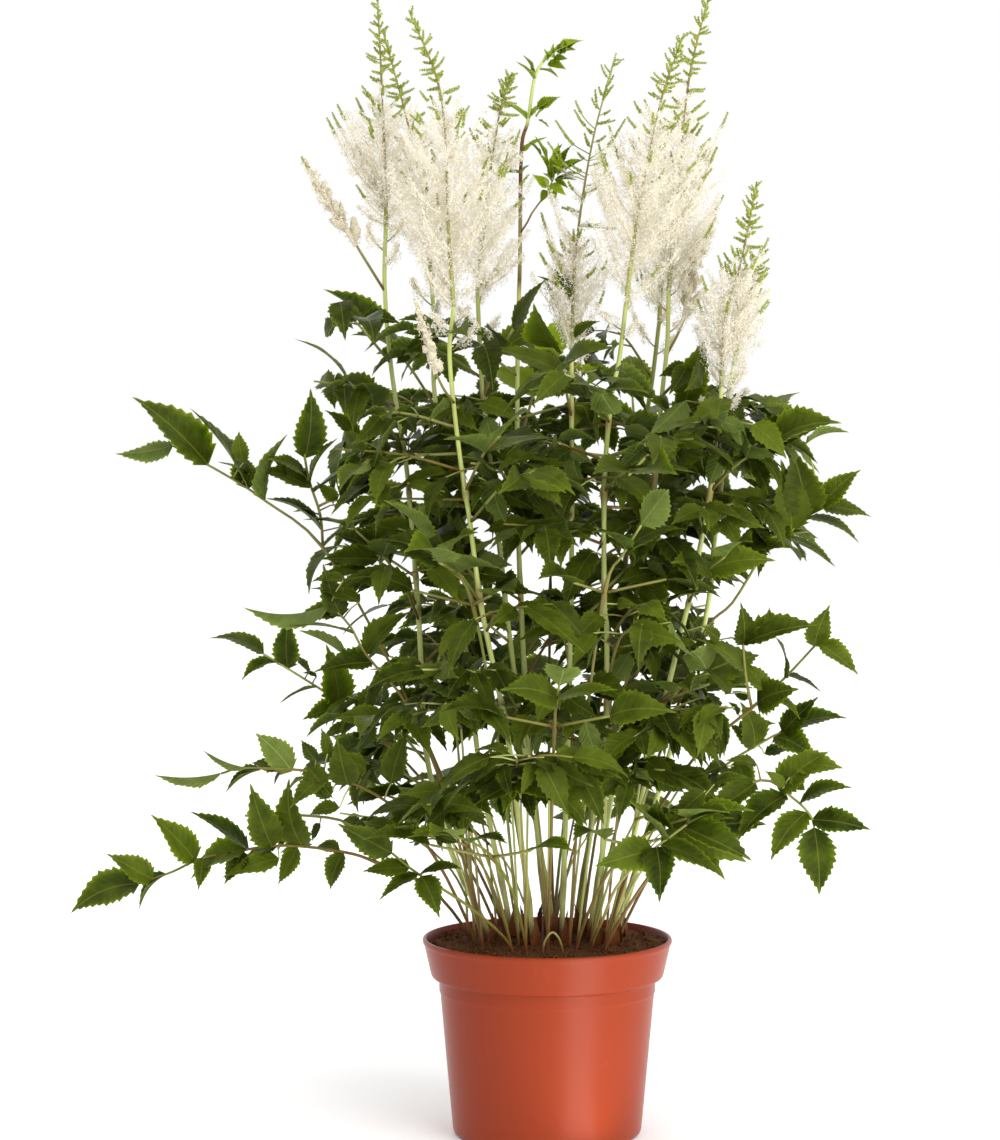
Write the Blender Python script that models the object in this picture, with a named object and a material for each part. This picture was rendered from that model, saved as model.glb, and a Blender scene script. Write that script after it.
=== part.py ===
"""Potted astilbe: a nursery pot of peat with flower stems, feathery plumes and
compound leaves.

Units are metres and +Z is up. The origin is the middle of the pot's flat base.
The tables below give places in millimetres as they look from the front, from
an eye 2.6 m off, in the upright plane through the pot's axis, with the depth
behind that plane as the middle number. true_place moves them to their own depth.
"""

import math
import random

import bmesh
import bpy
from mathutils import Matrix, Vector
from mathutils.bvhtree import BVHTree

MM = 0.001
GAP = 0.3 * MM
UP = Vector((0.0, 0.0, 1.0))
FRONT = Vector((0.0, -1.0, 0.0))

# Where the tables are seen from
EYE = Vector((-0.036, -2.6, 0.591))

# Nursery pot
POT_HEIGHT = 150 * MM
RIM_RADIUS = 95 * MM
BAND_FOOT_RADIUS = 89 * MM
BAND_HEIGHT = 28 * MM
BODY_TOP_RADIUS = 82.5 * MM
BASE_RADIUS = 72.5 * MM
WALL = 2.0 * MM
POT_SIDES = 28
DRAIN_COUNT = 6
DRAIN_RADIUS = 5 * MM
DRAIN_RING = 47 * MM
DRAIN_SIDES = 6
STEP_DROP = 3.5 * MM

# Peat
SOIL_TOP = 144 * MM
SOIL_SLACK = 0.8 * MM
HOLE_FLOOR = 120 * MM
SITE_PITCH = 11 * MM
SITE_REACH = 64 * MM
SITE_CHOICES = 6
BURIED_FOOT = 124 * MM
SOIL_LINE = 150 * MM

# Stalks
STEM_RADIUS = 2.6 * MM
STEM_TOP_RADIUS = 1.9 * MM
PETIOLE_RADIUS = 1.6 * MM
TWIG_RADIUS = 1.0 * MM
STEM_SIDES = 4
PETIOLE_SIDES = 4
TWIG_SIDES = 3
BENDS = (0, 6, -6, 12, -12, 18, -18, 25, -25)

# Leaflets: (place along the rib, share of the half width) down one margin
LARGE_MARGIN = ((0.15, 0.80), (0.38, 1.00), (0.43, 0.76), (0.70, 0.50))
SMALL_MARGIN = ((0.16, 0.80), (0.46, 0.96), (0.50, 0.70))
LARGE_RIB = (0.40, 0.70)
SMALL_RIB = (0.48,)
LARGE_LEAFLET = 62 * MM
HALF_WIDTH = 0.28
BLADE = 0.7 * MM
CAMBER = 0.07
FOLD = 0.22
# (swing, pitch, scale) tried in turn until a leaflet stands clear
POSES = ((0, 0, 1.0), (14, 0, 1.0), (-14, 0, 1.0), (0, 16, 1.0), (0, -16, 1.0), (24, 14, 1.0),
         (-24, 14, 1.0), (24, -14, 1.0), (-24, -14, 1.0), (0, 30, 0.9), (0, -30, 0.9),
         (0, 0, 0.75), (22, 22, 0.75), (-22, 22, 0.75), (22, -22, 0.75), (-22, -22, 0.75),
         (40, 0, 0.7), (-40, 0, 0.7), (0, 45, 0.7), (0, -45, 0.7))

# Plumes: spikes lean up by SPIKE_LIFT of their length, which varies between the two SPIKE_SPREAD
SPIKE_LIFT = 0.75
SPIKE_SPREAD = (0.66, 1.20)
CORE_SHARE = 0.24
CORE_LEAST = 1.7 * MM
HEAD_PITCH = 12 * MM
HEAD_COLUMNS = 10
HEAD_LEAST_LEVELS = 8
SPRIG_COLUMNS = 6
SPRIG_LEVELS = 7
TIP_SEED = 50
SPIKE_SEED = 80

# Flower stems: the way up from the soil, with the depth in the middle
STEMS = {
    "flower_stem_1": ((-45, 5, 150), (-75, 12, 220), (-92, 20, 290), (-95, 22, 340), (-98, 24, 400),
                      (-103, 26, 465), (-107, 28, 510), (-115, 28, 560), (-120, 28, 600),
                      (-123, 28, 647), (-122, 28, 690)),
    "flower_stem_2": ((-30, 25, 150), (-50, 45, 270), (-62, 60, 370), (-70, 66, 437), (-78, 70, 506),
                      (-86, 72, 570), (-85, 74, 610), (-88, 75, 648)),
    "flower_stem_3": ((-10, -20, 150), (-22, -28, 240), (-31, -34, 309), (-39, -38, 347),
                      (-51, -42, 407), (-59, -44, 468), (-67, -46, 521), (-74, -48, 590),
                      (-71, -48, 628)),
    "flower_stem_4": ((5, 12, 150), (-14, 14, 270), (-30, 16, 390), (-43, 18, 510), (-50, 18, 575),
                      (-53, 18, 640)),
    "flower_stem_5": ((14, 0, 150), (15, 4, 280), (18, 6, 420), (18, 8, 540), (18, 8, 596)),
    "flower_stem_6": ((40, -15, 150), (44, -24, 270), (45, -30, 377), (43, -34, 407), (43, -38, 498),
                      (48, -40, 559), (54, -40, 590), (59, -40, 632)),
    "flower_stem_7": ((32, 22, 150), (52, 26, 280), (68, 28, 400), (80, 30, 490), (86, 30, 560),
                      (90, 30, 600), (91, 30, 640)),
    "flower_stem_8": ((22, 42, 150), (42, 62, 290), (58, 76, 430), (72, 82, 530), (79, 84, 575),
                      (84, 84, 618)),
    "flower_stem_9": ((52, -8, 150), (75, -14, 270), (100, -18, 377), (110, -20, 420),
                      (123, -22, 490), (126, -22, 520), (130, -22, 553), (131, -22, 568)),
    "flower_stem_10": ((60, 20, 150), (90, 26, 280), (119, 32, 390), (126, 34, 450), (133, 35, 520),
                       (136, 35, 560), (140, 35, 584)),
    "young_shoot": ((-5, 40, 150), (-14, 38, 300), (-22, 34, 450), (-23, 30, 559), (-22, 28, 627),
                    (-21, 26, 665), (-20, 24, 745), (-15, 23, 768), (-10, 22, 800), (-2, 22, 815)),
}

# Plumes: the way of the axis from the stem's top, where the white ends, reach and sprig reach in mm
PLUMES = {
    "plume_1": ((-122, 28, 690), (-122, 28, 720), (-125, 28, 800), (-128, 28, 862), 790, 25, 9),
    "plume_2": ((-88, 75, 648), (-92, 74, 700), (-105, 72, 765), (-124, 70, 836), 765, 24, 9),
    "plume_3": ((-71, -48, 628), (-75, -48, 690), (-80, -48, 785), (-104, -48, 850), 785, 37, 10),
    "plume_4": ((-53, 18, 640), (-47, 18, 700), (-37, 18, 770), (-27, 18, 804), 772, 26, 8),
    "plume_5": ((18, 8, 596), (21, 8, 670), (33, 8, 750), (51, 8, 818), 685, 22, 26),
    "plume_6": ((59, -40, 632), (68, -40, 700), (84, -40, 780), (102, -40, 833), 778, 33, 12),
    "plume_7": ((91, 30, 640), (98, 30, 720), (106, 30, 800), (121, 30, 862), 788, 27, 11),
    "plume_8": ((84, 84, 618), (86, 84, 655), (90, 82, 700), (97, 80, 742), 742, 22, 7),
    "plume_9": ((131, -22, 568), (134, -22, 620), (146, -22, 665), (157, -22, 722), 672, 22, 9),
    "plume_10": ((140, 35, 584), (145, 35, 610), (152, 35, 640), (160, 35, 672), 672, 15, 6),
}

# Side spikes of a panicle that stand apart: stem they leave, way of the stalk, way of the spike, reach
SIDE_SPIKES = {
    "side_spike_1": ("flower_stem_1", ((-123, 28, 640), (-140, 16, 668), (-144, 14, 675)),
                     ((-144, 14, 675), (-160, 6, 700), (-185, -4, 741)), 11),
    "side_spike_2": ("flower_stem_3", ((-72, -47, 556), (-78, -64, 566), (-84, -74, 578)),
                     ((-84, -74, 578), (-90, -78, 604), (-100, -80, 634)), 6),
    "side_spike_3": ("flower_stem_7", ((90, 30, 592), (97, 38, 606), (103, 44, 620)),
                     ((103, 44, 620), (110, 48, 655), (127, 52, 698)), 11),
}

# Leaves seen in outline: the way of the leaf stalk from the soil, its side stalks, and its leaflets.
# A leaflet is its tip x and z, its base x and z, and how far it faces the front, from 0 to 1.
FRONDS = {
    "frond_left_high": (
        ((-45, -8, 150), (-72, -8, 250), (-120, -4, 360), (-170, 0, 447), (-213, -4, 482),
         (-240, -8, 500), (-283, -12, 524)),
        (((-170, 0, 447), (-172, -8, 472), (-180, -14, 497), (-184, -18, 518)),),
        ((-327, 518, -283, 524, 0.3), (-314, 561, -255, 512, 0.35), (-280, 545, -225, 492, 0.4),
         (-238, 545, -226, 492, 0.45), (-212, 539, -213, 484, 0.5), (-192, 567, -184, 518, 0.5),
         (-158, 530, -180, 500, 0.5), (-212, 520, -182, 500, 0.4), (-140, 522, -178, 492, 0.75),
         (-214, 484, -170, 462, 0.6), (-136, 470, -168, 448, 0.6))),
    "frond_left_middle": (
        ((-48, -25, 150), (-75, -34, 250), (-105, -42, 325), (-137, -48, 365), (-150, -51, 388),
         (-165, -54, 403)),
        (),
        ((-231, 402, -165, 403, 0.12), (-202, 386, -150, 380, 0.3), (-187, 424, -156, 395, 0.5),
         (-102, 399, -137, 366, 0.7), (-178, 352, -132, 360, 0.5))),
    "frond_left_low": (
        ((-38, 40, 150), (-62, 44, 220), (-95, 40, 270), (-133, 34, 307), (-155, 30, 326),
         (-170, 27, 338), (-205, 24, 360), (-215, 22, 366)),
        (),
        ((-257, 378, -215, 366, 0.3), (-232, 346, -205, 360, 0.3), (-205, 394, -196, 356, 0.5),
         (-204, 328, -175, 342, 0.5), (-168, 374, -157, 330, 0.75), (-186, 316, -152, 324, 0.5),
         (-120, 350, -140, 314, 0.75))),
    "frond_left_flat": (
        ((-55, -15, 150), (-85, -40, 210), (-120, -58, 252), (-170, -66, 275), (-229, -70, 279),
         (-248, -71, 275)),
        (),
        ((-299, 274, -248, 275, 0.12), (-262, 293, -229, 279, 0.2), (-245, 260, -218, 278, 0.25),
         (-222, 306, -194, 277, 0.5), (-196, 248, -168, 274, 0.5), (-160, 304, -150, 268, 0.65))),
    "frond_left_long": (
        ((-55, 12, 150), (-90, 4, 188), (-130, -8, 207), (-155, -14, 215), (-200, -20, 220),
         (-240, -24, 215), (-266, -26, 209), (-285, -28, 200), (-310, -30, 191)),
        (((-130, -8, 207), (-150, 6, 236), (-185, 14, 243), (-217, 18, 242), (-230, 19, 243)),),
        ((-363, 168, -310, 191, 0.6), (-336, 214, -301, 195, 0.5), (-311, 170, -290, 199, 0.55),
         (-302, 244, -268, 209, 0.85), (-272, 186, -262, 211, 0.5), (-246, 190, -232, 216, 0.5),
         (-272, 246, -230, 243, 0.5), (-226, 268, -212, 242, 0.5), (-205, 190, -190, 218, 0.5),
         (-250, 228, -208, 242, 0.45), (-196, 272, -182, 243, 0.5), (-165, 186, -155, 215, 0.5))),
    "frond_front_left": (
        ((-30, -45, 150), (-58, -72, 172), (-98, -98, 198), (-118, -106, 214)),
        (),
        ((-160, 237, -118, 214, 0.5), (-141, 200, -105, 204, 0.4), (-134, 184, -99, 198, 0.5),
         (-64, 202, -97, 198, 0.25), (-82, 164, -95, 196, 0.95))),
    "frond_right_high": (
        ((45, 10, 150), (72, 12, 250), (100, 12, 330), (120, 10, 385), (140, 6, 405), (162, 0, 440),
         (175, -4, 450), (190, -9, 465), (207, -14, 478)),
        (),
        ((245, 470, 207, 478, 0.3), (237, 506, 206, 478, 0.5), (203, 528, 198, 472, 0.55),
         (236, 450, 196, 470, 0.4), (176, 514, 184, 460, 0.6), (218, 432, 180, 454, 0.45),
         (134, 482, 168, 446, 0.7), (126, 436, 150, 424, 0.4))),
    "frond_right_middle": (
        ((42, -20, 150), (70, -32, 220), (110, -42, 285), (155, -50, 325), (180, -54, 348),
         (205, -58, 375)),
        (((155, -50, 325), (150, -60, 352), (148, -66, 378)),),
        ((236, 350, 205, 375, 0.45), (214, 404, 202, 372, 0.5), (206, 388, 148, 378, 0.3),
         (146, 406, 148, 378, 0.6), (208, 337, 182, 350, 0.5), (172, 380, 180, 348, 0.6),
         (192, 316, 165, 334, 0.5), (112, 378, 149, 358, 0.6), (196, 352, 158, 330, 0.5))),
    "frond_right_flat": (
        ((56, 4, 150), (88, 6, 215), (125, 6, 272), (165, 4, 300), (182, 2, 308)),
        (),
        ((228, 317, 182, 308, 0.3), (206, 334, 178, 307, 0.5), (204, 284, 172, 303, 0.5),
         (146, 330, 156, 296, 0.6), (158, 256, 142, 286, 0.5))),
    "frond_right_low": (
        ((48, -34, 150), (80, -58, 200), (120, -80, 245), (162, -94, 270), (187, -98, 256),
         (200, -100, 243), (203, -101, 234)),
        (),
        ((207, 182, 203, 234, 0.95), (246, 232, 202, 240, 0.6), (170, 208, 198, 246, 0.95),
         (232, 264, 192, 252, 0.45), (144, 222, 182, 259, 0.9), (214, 292, 176, 263, 0.45),
         (118, 240, 158, 268, 0.7))),
    "frond_front_right": (
        ((30, -40, 150), (43, -70, 165), (52, -98, 187), (68, -126, 206), (83, -142, 219),
         (106, -152, 236)),
        (),
        ((158, 246, 106, 236, 0.5), (156, 208, 102, 234, 0.7), (137, 192, 86, 221, 0.75),
         (84, 172, 83, 219, 0.97), (36, 204, 78, 216, 0.65), (62, 254, 90, 226, 0.6))),
}

# Leaves that fill the middle, front and back, in three storeys: degrees round from +X,
# reach, height of the joint and rise beyond it in mm
FILL_LEAVES = (
    (-112, 180, 226, 24), (-58, 185, 234, 28), (82, 200, 232, 28), (142, 180, 244, 30),
    (-88, 168, 322, 36), (-22, 150, 334, 34), (52, 178, 318, 44), (112, 185, 328, 40),
    (-132, 135, 408, 50), (-62, 140, 418, 52), (88, 160, 402, 58),
)

JOINT_SHARE = 0.62
TWIG_LENGTH = 46 * MM

# The end of a leafy stalk: where the pair sits, and how far the leaflets sag
PAIR_SHARE = 0.62
LEAFLET_SAG = 0.12
END_LEAFLET = 1.15

# Leaves borne by the flower stems: stem, height it leaves at, and the end of its stalk
STEM_LEAVES = (
    ("flower_stem_1", 400, (-145, -6, 460)),
    ("flower_stem_1", 520, (-150, 14, 572)),
    ("flower_stem_2", 552, (-128, 88, 608)),
    ("flower_stem_2", 437, (-112, 132, 480)),
    ("flower_stem_3", 487, (-36, -100, 532)),
    ("flower_stem_3", 400, (-82, -104, 436)),
    ("flower_stem_4", 560, (-26, 2, 612)),
    ("flower_stem_4", 470, (-42, 84, 540)),
    ("flower_stem_5", 545, (4, -38, 598)),
    ("flower_stem_6", 487, (74, -104, 506)),
    ("flower_stem_6", 540, (32, -98, 566)),
    ("flower_stem_7", 500, (104, 8, 556)),
    ("flower_stem_7", 430, (122, 72, 470)),
    ("flower_stem_8", 500, (64, 132, 560)),
    ("flower_stem_9", 488, (170, -52, 524)),
    ("flower_stem_9", 400, (134, -84, 440)),
    ("flower_stem_10", 500, (160, 66, 540)),
    ("young_shoot", 520, (-2, 66, 584)),
)

# Small leaves of the young shoot: height it leaves at, tip x, depth and tip z
SHOOT_LEAFLETS = ((812, 27, 14, 828), (806, 8, 30, 800), (800, -24, 8, 812), (770, 10, 16, 786),
                  (768, -34, 34, 782), (745, 0, 20, 756))

COLOURS = {
    "pot": ((0.47, 0.10, 0.045), 0.28),
    "soil": ((0.045, 0.022, 0.012), 0.95),
    "stem": ((0.30, 0.36, 0.09), 0.55),
    "leaf": ((0.075, 0.14, 0.018), 0.42),
    "plume": ((0.86, 0.82, 0.70), 0.8),
    "bud": ((0.30, 0.42, 0.07), 0.7),
}


def clear_scene():
    for thing in list(bpy.data.objects):
        bpy.data.objects.remove(thing, do_unlink=True)


def make_material(name):
    colour, roughness = COLOURS[name]
    material = bpy.data.materials.new(name)
    material.use_nodes = True
    shader = material.node_tree.nodes["Principled BSDF"]
    shader.inputs["Base Color"].default_value = (*colour, 1.0)
    shader.inputs["Roughness"].default_value = roughness
    shader.inputs["Metallic"].default_value = 0.0
    material.diffuse_color = (*colour, 1.0)
    return material


def true_place(x, y, z):
    """A table's place in mm, moved along the line of sight to its own depth."""
    depth = y * MM
    widen = 1.0 + depth / -EYE.y
    return Vector((EYE.x + (x * MM - EYE.x) * widen, depth, EYE.z + (z * MM - EYE.z) * widen))


def smooth(points, steps):
    """A Catmull-Rom curve through the points, with steps pieces to each span."""
    padded = [points[0] * 2 - points[1], *points, points[-1] * 2 - points[-2]]
    curve = []
    for a, b, c, d in zip(padded, padded[1:], padded[2:], padded[3:]):
        for step in range(steps):
            t = step / steps
            curve.append(0.5 * (2 * b + (c - a) * t + (2 * a - 5 * b + 4 * c - d) * t * t
                                + (3 * b - a - 3 * c + d) * t ** 3))
    curve.append(points[-1].copy())
    return curve


def bent(points, across, away):
    """The points moved aside, those in the middle most."""
    last = len(points) - 1
    shift = Vector((across, away, 0.0)) * MM
    return [point + shift * math.sin(math.pi * i / last) for i, point in enumerate(points)]


def swung(points, across, away):
    """The points moved aside, more and more towards the end."""
    last = len(points) - 1
    shift = Vector((across, away, 0.0)) * MM
    return [point + shift * (i / last) for i, point in enumerate(points)]


def along(points, share):
    """The place and the direction at a share of a polyline's length."""
    lengths = [(b - a).length for a, b in zip(points, points[1:])]
    left = share * sum(lengths)
    for a, b, length in zip(points, points[1:], lengths):
        if left <= length or b is points[-1]:
            return a.lerp(b, min(left / length, 1.0)), (b - a).normalized()
        left -= length
    return points[-1].copy(), (points[-1] - points[-2]).normalized()


def nearest_on(lines, place):
    """The point of the polylines that is nearest to a place."""
    best = None
    for points in lines:
        for a, b in zip(points, points[1:]):
            span = b - a
            share = max(0.0, min(1.0, (place - a).dot(span) / span.length_squared))
            point = a + span * share
            if best is None or (place - point).length < (place - best).length:
                best = point
    return best


def at_height(points, height):
    """The point of a rising polyline at a height."""
    for a, b in zip(points, points[1:]):
        if a.z <= height <= b.z:
            return a.lerp(b, (height - a.z) / (b.z - a.z))
    return points[-1].copy()


def tube(points, first_radius, last_radius, sides):
    """A tapering tube along a polyline, closed at both ends."""
    verts = []
    faces = []
    count = len(points)
    across = (points[1] - points[0]).cross(Vector((0.35, 1.0, 0.1))).normalized()
    for i, point in enumerate(points):
        ahead = points[min(i + 1, count - 1)] - points[max(i - 1, 0)]
        ahead.normalize()
        across = (across - ahead * across.dot(ahead)).normalized()
        other = ahead.cross(across)
        radius = first_radius + (last_radius - first_radius) * i / (count - 1)
        for side in range(sides):
            angle = 2 * math.pi * side / sides
            verts.append(point + (across * math.cos(angle) + other * math.sin(angle)) * radius)
    for i in range(count - 1):
        for side in range(sides):
            a = i * sides + side
            b = i * sides + (side + 1) % sides
            faces.append((a, b, b + sides, a + sides))
    faces.append(tuple(reversed(range(sides))))
    faces.append(tuple(range((count - 1) * sides, count * sides)))
    return verts, faces


def strip(margin, rib, shares):
    """Triangles between two chains that share their first and last vertex."""
    triangles = []
    i = 0
    j = 0
    while i < len(margin) - 1 or j < len(rib) - 1:
        margin_next = shares[margin[i + 1]] if i < len(margin) - 1 else 2.0
        rib_next = shares[rib[j + 1]] if j < len(rib) - 1 else 2.0
        if margin_next <= rib_next:
            triangle = (margin[i], margin[i + 1], rib[j])
            i += 1
        else:
            triangle = (margin[i], rib[j + 1], rib[j])
            j += 1
        if len(set(triangle)) == 3:
            triangles.append(triangle)
    return triangles


def blade(base, tip, up, width, thickness=BLADE, root=0.0):
    """A toothed leaflet blade, folded along its rib and arched, as a closed solid."""
    rib_line = tip - base
    length = rib_line.length
    forward = rib_line / length
    normal = (up - forward * up.dot(forward)).normalized()
    side = forward.cross(normal)
    large = length > LARGE_LEAFLET
    margin_shares = LARGE_MARGIN if large else SMALL_MARGIN
    rib_shares = LARGE_RIB if large else SMALL_RIB

    def point(share, out):
        lift = CAMBER * length * 4 * share * (1 - share) + FOLD * abs(out) * width
        return base + forward * share * length + side * out * width + normal * lift

    places = [(root, 0.0)]
    places += [(share, out) for share, out in margin_shares]
    places.append((1.0, 0.0))
    places += [(share, -out) for share, out in reversed(margin_shares)]
    places += [(share, 0.0) for share in rib_shares]
    count = len(margin_shares)
    tip_index = count + 1
    around = 2 * count + 2
    rib = [0, *range(around, around + len(rib_shares)), tip_index]
    right = list(range(0, tip_index + 1))
    left = [0, *range(around - 1, tip_index, -1), tip_index]
    shares = [place[0] for place in places]
    upper = strip(right, rib, shares)
    upper += [tuple(reversed(triangle)) for triangle in strip(left, rib, shares)]
    total = len(places)
    half = normal * thickness / 2
    middle = [point(share, out) for share, out in places]
    verts = [place + half for place in middle] + [place - half for place in middle]
    faces = list(upper)
    faces += [tuple(total + index for index in reversed(triangle)) for triangle in upper]
    for i in range(around):
        after = (i + 1) % around
        faces.append((i, i + total, after + total, after))
    return verts, faces


def posed(base, tip, up, swing, pitch, scale):
    """A leaflet turned about its base: swing in its own plane, pitch up or down."""
    rib_line = tip - base
    forward = rib_line.normalized()
    normal = (up - forward * up.dot(forward)).normalized()
    turned = Matrix.Rotation(math.radians(swing), 3, normal) @ rib_line
    hinge = turned.cross(normal).normalized()
    pitched = Matrix.Rotation(math.radians(pitch), 3, hinge)
    return base + pitched @ turned * scale, pitched @ normal


def head_reach(share):
    """How far a white plume reaches at a share of its height, as a share of its most."""
    if share < 0.22:
        return 0.55 + 0.45 * share / 0.22
    return 1.0 - 0.66 * (share - 0.22) / 0.78


def sprig_reach(share):
    """How far the bud sprigs above the white reach."""
    return 1.0 - 0.75 * share


def plume(axis, seat, reach, reach_rule, levels, columns, seed):
    """A slim core with a spike at every other place of its rings, one for each side branch.

    The lowest ring is square to the seat's direction, to meet what carries it face to face.
    """
    chance = random.Random(seed)
    core = [max(CORE_LEAST, CORE_SHARE * reach * reach_rule(level / levels))
            for level in range(levels + 1)]
    core[0] = CORE_LEAST
    core[-1] = CORE_LEAST * 0.7
    total = sum((b - a).length for a, b in zip(axis, axis[1:]))
    verts = []
    faces = []
    for level in range(levels + 1):
        centre, ahead = along(axis, level / levels)
        if level == 0:
            ahead = seat
        across = ahead.cross(FRONT).normalized()
        other = ahead.cross(across)
        for column in range(columns):
            angle = 2 * math.pi * column / columns
            out = across * math.cos(angle) + other * math.sin(angle)
            spiked = (level + column) % 2 == 1 and 0 < level < levels
            if spiked:
                length = reach * reach_rule(level / levels) * chance.uniform(*SPIKE_SPREAD)
                lift = min(length * SPIKE_LIFT, (1 - level / levels) * total)
                verts.append(centre + out * length + ahead * lift)
            else:
                verts.append(centre + out * core[level])
    for level in range(levels):
        for column in range(columns):
            a = level * columns + column
            b = level * columns + (column + 1) % columns
            c = b + columns
            d = a + columns
            # A quad is cut from core vertex to core vertex, so that each spike is a pyramid
            if (level + column) % 2 == 1:
                faces.append((a, b, d))
                faces.append((b, c, d))
            else:
                faces.append((a, b, c))
                faces.append((a, c, d))
    faces.append(tuple(reversed(range(columns))))
    faces.append(tuple(range(levels * columns, (levels + 1) * columns)))
    return verts, faces


class Sites:
    """Places for stalks in the soil, on a grid of triangles; each is taken once."""

    def __init__(self):
        self.free = []
        row_pitch = SITE_PITCH * math.sqrt(3) / 2
        rows = int(SITE_REACH / row_pitch) + 1
        columns = int(SITE_REACH / SITE_PITCH) + 1
        for row in range(-rows, rows + 1):
            for column in range(-columns, columns + 1):
                place = Vector(((column + 0.5 * (row % 2)) * SITE_PITCH, row * row_pitch, 0.0))
                if place.length <= SITE_REACH:
                    self.free.append(place)

    def near(self, place):
        """The free places nearest to a point, the nearest first."""
        wanted = Vector((place.x, place.y, 0.0))
        return sorted(self.free, key=lambda site: (site - wanted).length)[:SITE_CHOICES]


def stalk_ways(points, steps, sites):
    """The ways a stalk may take, the straightest first, and its place in the soil if rooted."""
    bends = sorted({(abs(a) + abs(b), a, b) for a in BENDS for b in BENDS})
    for site in sites.near(points[0]) if sites else [None]:
        for _, across, away in bends:
            if site is None:
                yield None, smooth(swung(points, across, away), steps)
                continue
            foot = Vector((site.x, site.y, SOIL_LINE))
            curve = smooth(bent([foot, *points[1:]], across, away), steps)
            yield site, [Vector((site.x, site.y, BURIED_FOOT)), *curve]


def extent(verts):
    low = [min(vert[i] for vert in verts) for i in range(3)]
    high = [max(vert[i] for vert in verts) for i in range(3)]
    return low, high


class Crowd:
    """The solids set so far, and whether a new one stands clear of them."""

    def __init__(self):
        self.members = []

    def add(self, verts, faces, node, kind):
        self.members.append((*extent(verts), BVHTree.FromPolygons(verts, faces), node, kind))

    def clear(self, verts, faces, skip):
        low, high = extent(verts)
        tree = None
        for other_low, other_high, other, node, kind in self.members:
            if skip(node, kind):
                continue
            if any(low[i] > other_high[i] or high[i] < other_low[i] for i in range(3)):
                continue
            if tree is None:
                tree = BVHTree.FromPolygons(verts, faces)
            if tree.overlap(other):
                return False
        return True


class Plant:
    """Every node's solids, kept clear of the other nodes' as they are added."""

    def __init__(self):
        self.crowd = Crowd()
        self.sites = Sites()
        self.solids = {}
        self.lines = {}
        self.leaf_lines = []
        self.feet = []
        self.dropped = 0
        self.kept = 0

    def add_solid(self, node, verts, faces, kind):
        self.solids.setdefault(node, []).append((verts, faces))
        self.crowd.add(verts, faces, node, kind)

    def add_stalk(self, node, points, first_radius, last_radius, sides, steps, rooted):
        """A stem or leaf stalk, bent aside where it would cross another node."""
        chosen = None
        for site, curve in stalk_ways(points, steps, self.sites if rooted else None):
            test = tube(curve, first_radius + 2 * GAP, last_radius + 2 * GAP, sides)
            if self.crowd.clear(*test, skip=lambda other, kind: other == node):
                chosen = curve
                break
        else:
            print("no clear way for a stalk of", node)
            chosen = curve
        if rooted:
            self.sites.free.remove(site)
            self.feet.append((site, first_radius, sides))
        self.add_solid(node, *tube(chosen, first_radius, last_radius, sides), "stalk")
        self.lines.setdefault(node, []).append(chosen)
        return chosen

    def add_head(self, node, axis, seat, reach, seed):
        """A cream head, with a ring of spikes at every HEAD_PITCH of its height."""
        levels = round((axis[-1].z - axis[0].z) / HEAD_PITCH) // 2 * 2
        levels = max(HEAD_LEAST_LEVELS, levels)
        solid = plume(axis, seat, reach, head_reach, levels, HEAD_COLUMNS, seed)
        self.add_solid(node, *solid, "plume")

    def add_sprig(self, node, axis, seat, reach, seed):
        """A slim spire of buds, or a side spike."""
        solid = plume(axis, seat, reach, sprig_reach, SPRIG_LEVELS, SPRIG_COLUMNS, seed)
        self.add_solid(node, *solid, "plume")

    def add_leaflet(self, node, base, tip, up, width=HALF_WIDTH):
        """A leaflet in the first of its poses that stands clear, or none."""
        for swing, pitch, scale in POSES:
            new_tip, new_up = posed(base, tip, up, swing, pitch, scale)
            half = width * (new_tip - base).length
            full = blade(base, new_tip, new_up, half + GAP, BLADE + 3 * GAP)
            if not self.crowd.clear(*full, skip=lambda other, kind: other == node):
                continue
            outer = blade(base, new_tip, new_up, half, BLADE, root=0.2)
            if not self.crowd.clear(*outer, skip=lambda other, kind: other != node or kind == "stalk"):
                continue
            self.add_solid(node, *blade(base, new_tip, new_up, half), "leaflet")
            self.kept += 1
            return
        self.dropped += 1


def facing(share, out):
    """The direction of a blade's upper face: up, the front and a little outward."""
    return (UP * (1.05 - share) + FRONT * share + out * 0.15).normalized()


def add_flower_stems(plant):
    for node, way in STEMS.items():
        points = [true_place(*place) for place in way]
        top = STEM_TOP_RADIUS * (0.6 if node == "young_shoot" else 1.0)
        plant.add_stalk(node, points, STEM_RADIUS, top, STEM_SIDES, 1, True)
    for stem, stalk, _, _ in SIDE_SPIKES.values():
        points = [true_place(*place) for place in stalk]
        points[0] = nearest_on(plant.lines[stem][:1], points[0])
        plant.add_stalk(stem, points, TWIG_RADIUS * 1.3, TWIG_RADIUS * 1.3, PETIOLE_SIDES, 1, False)


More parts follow.
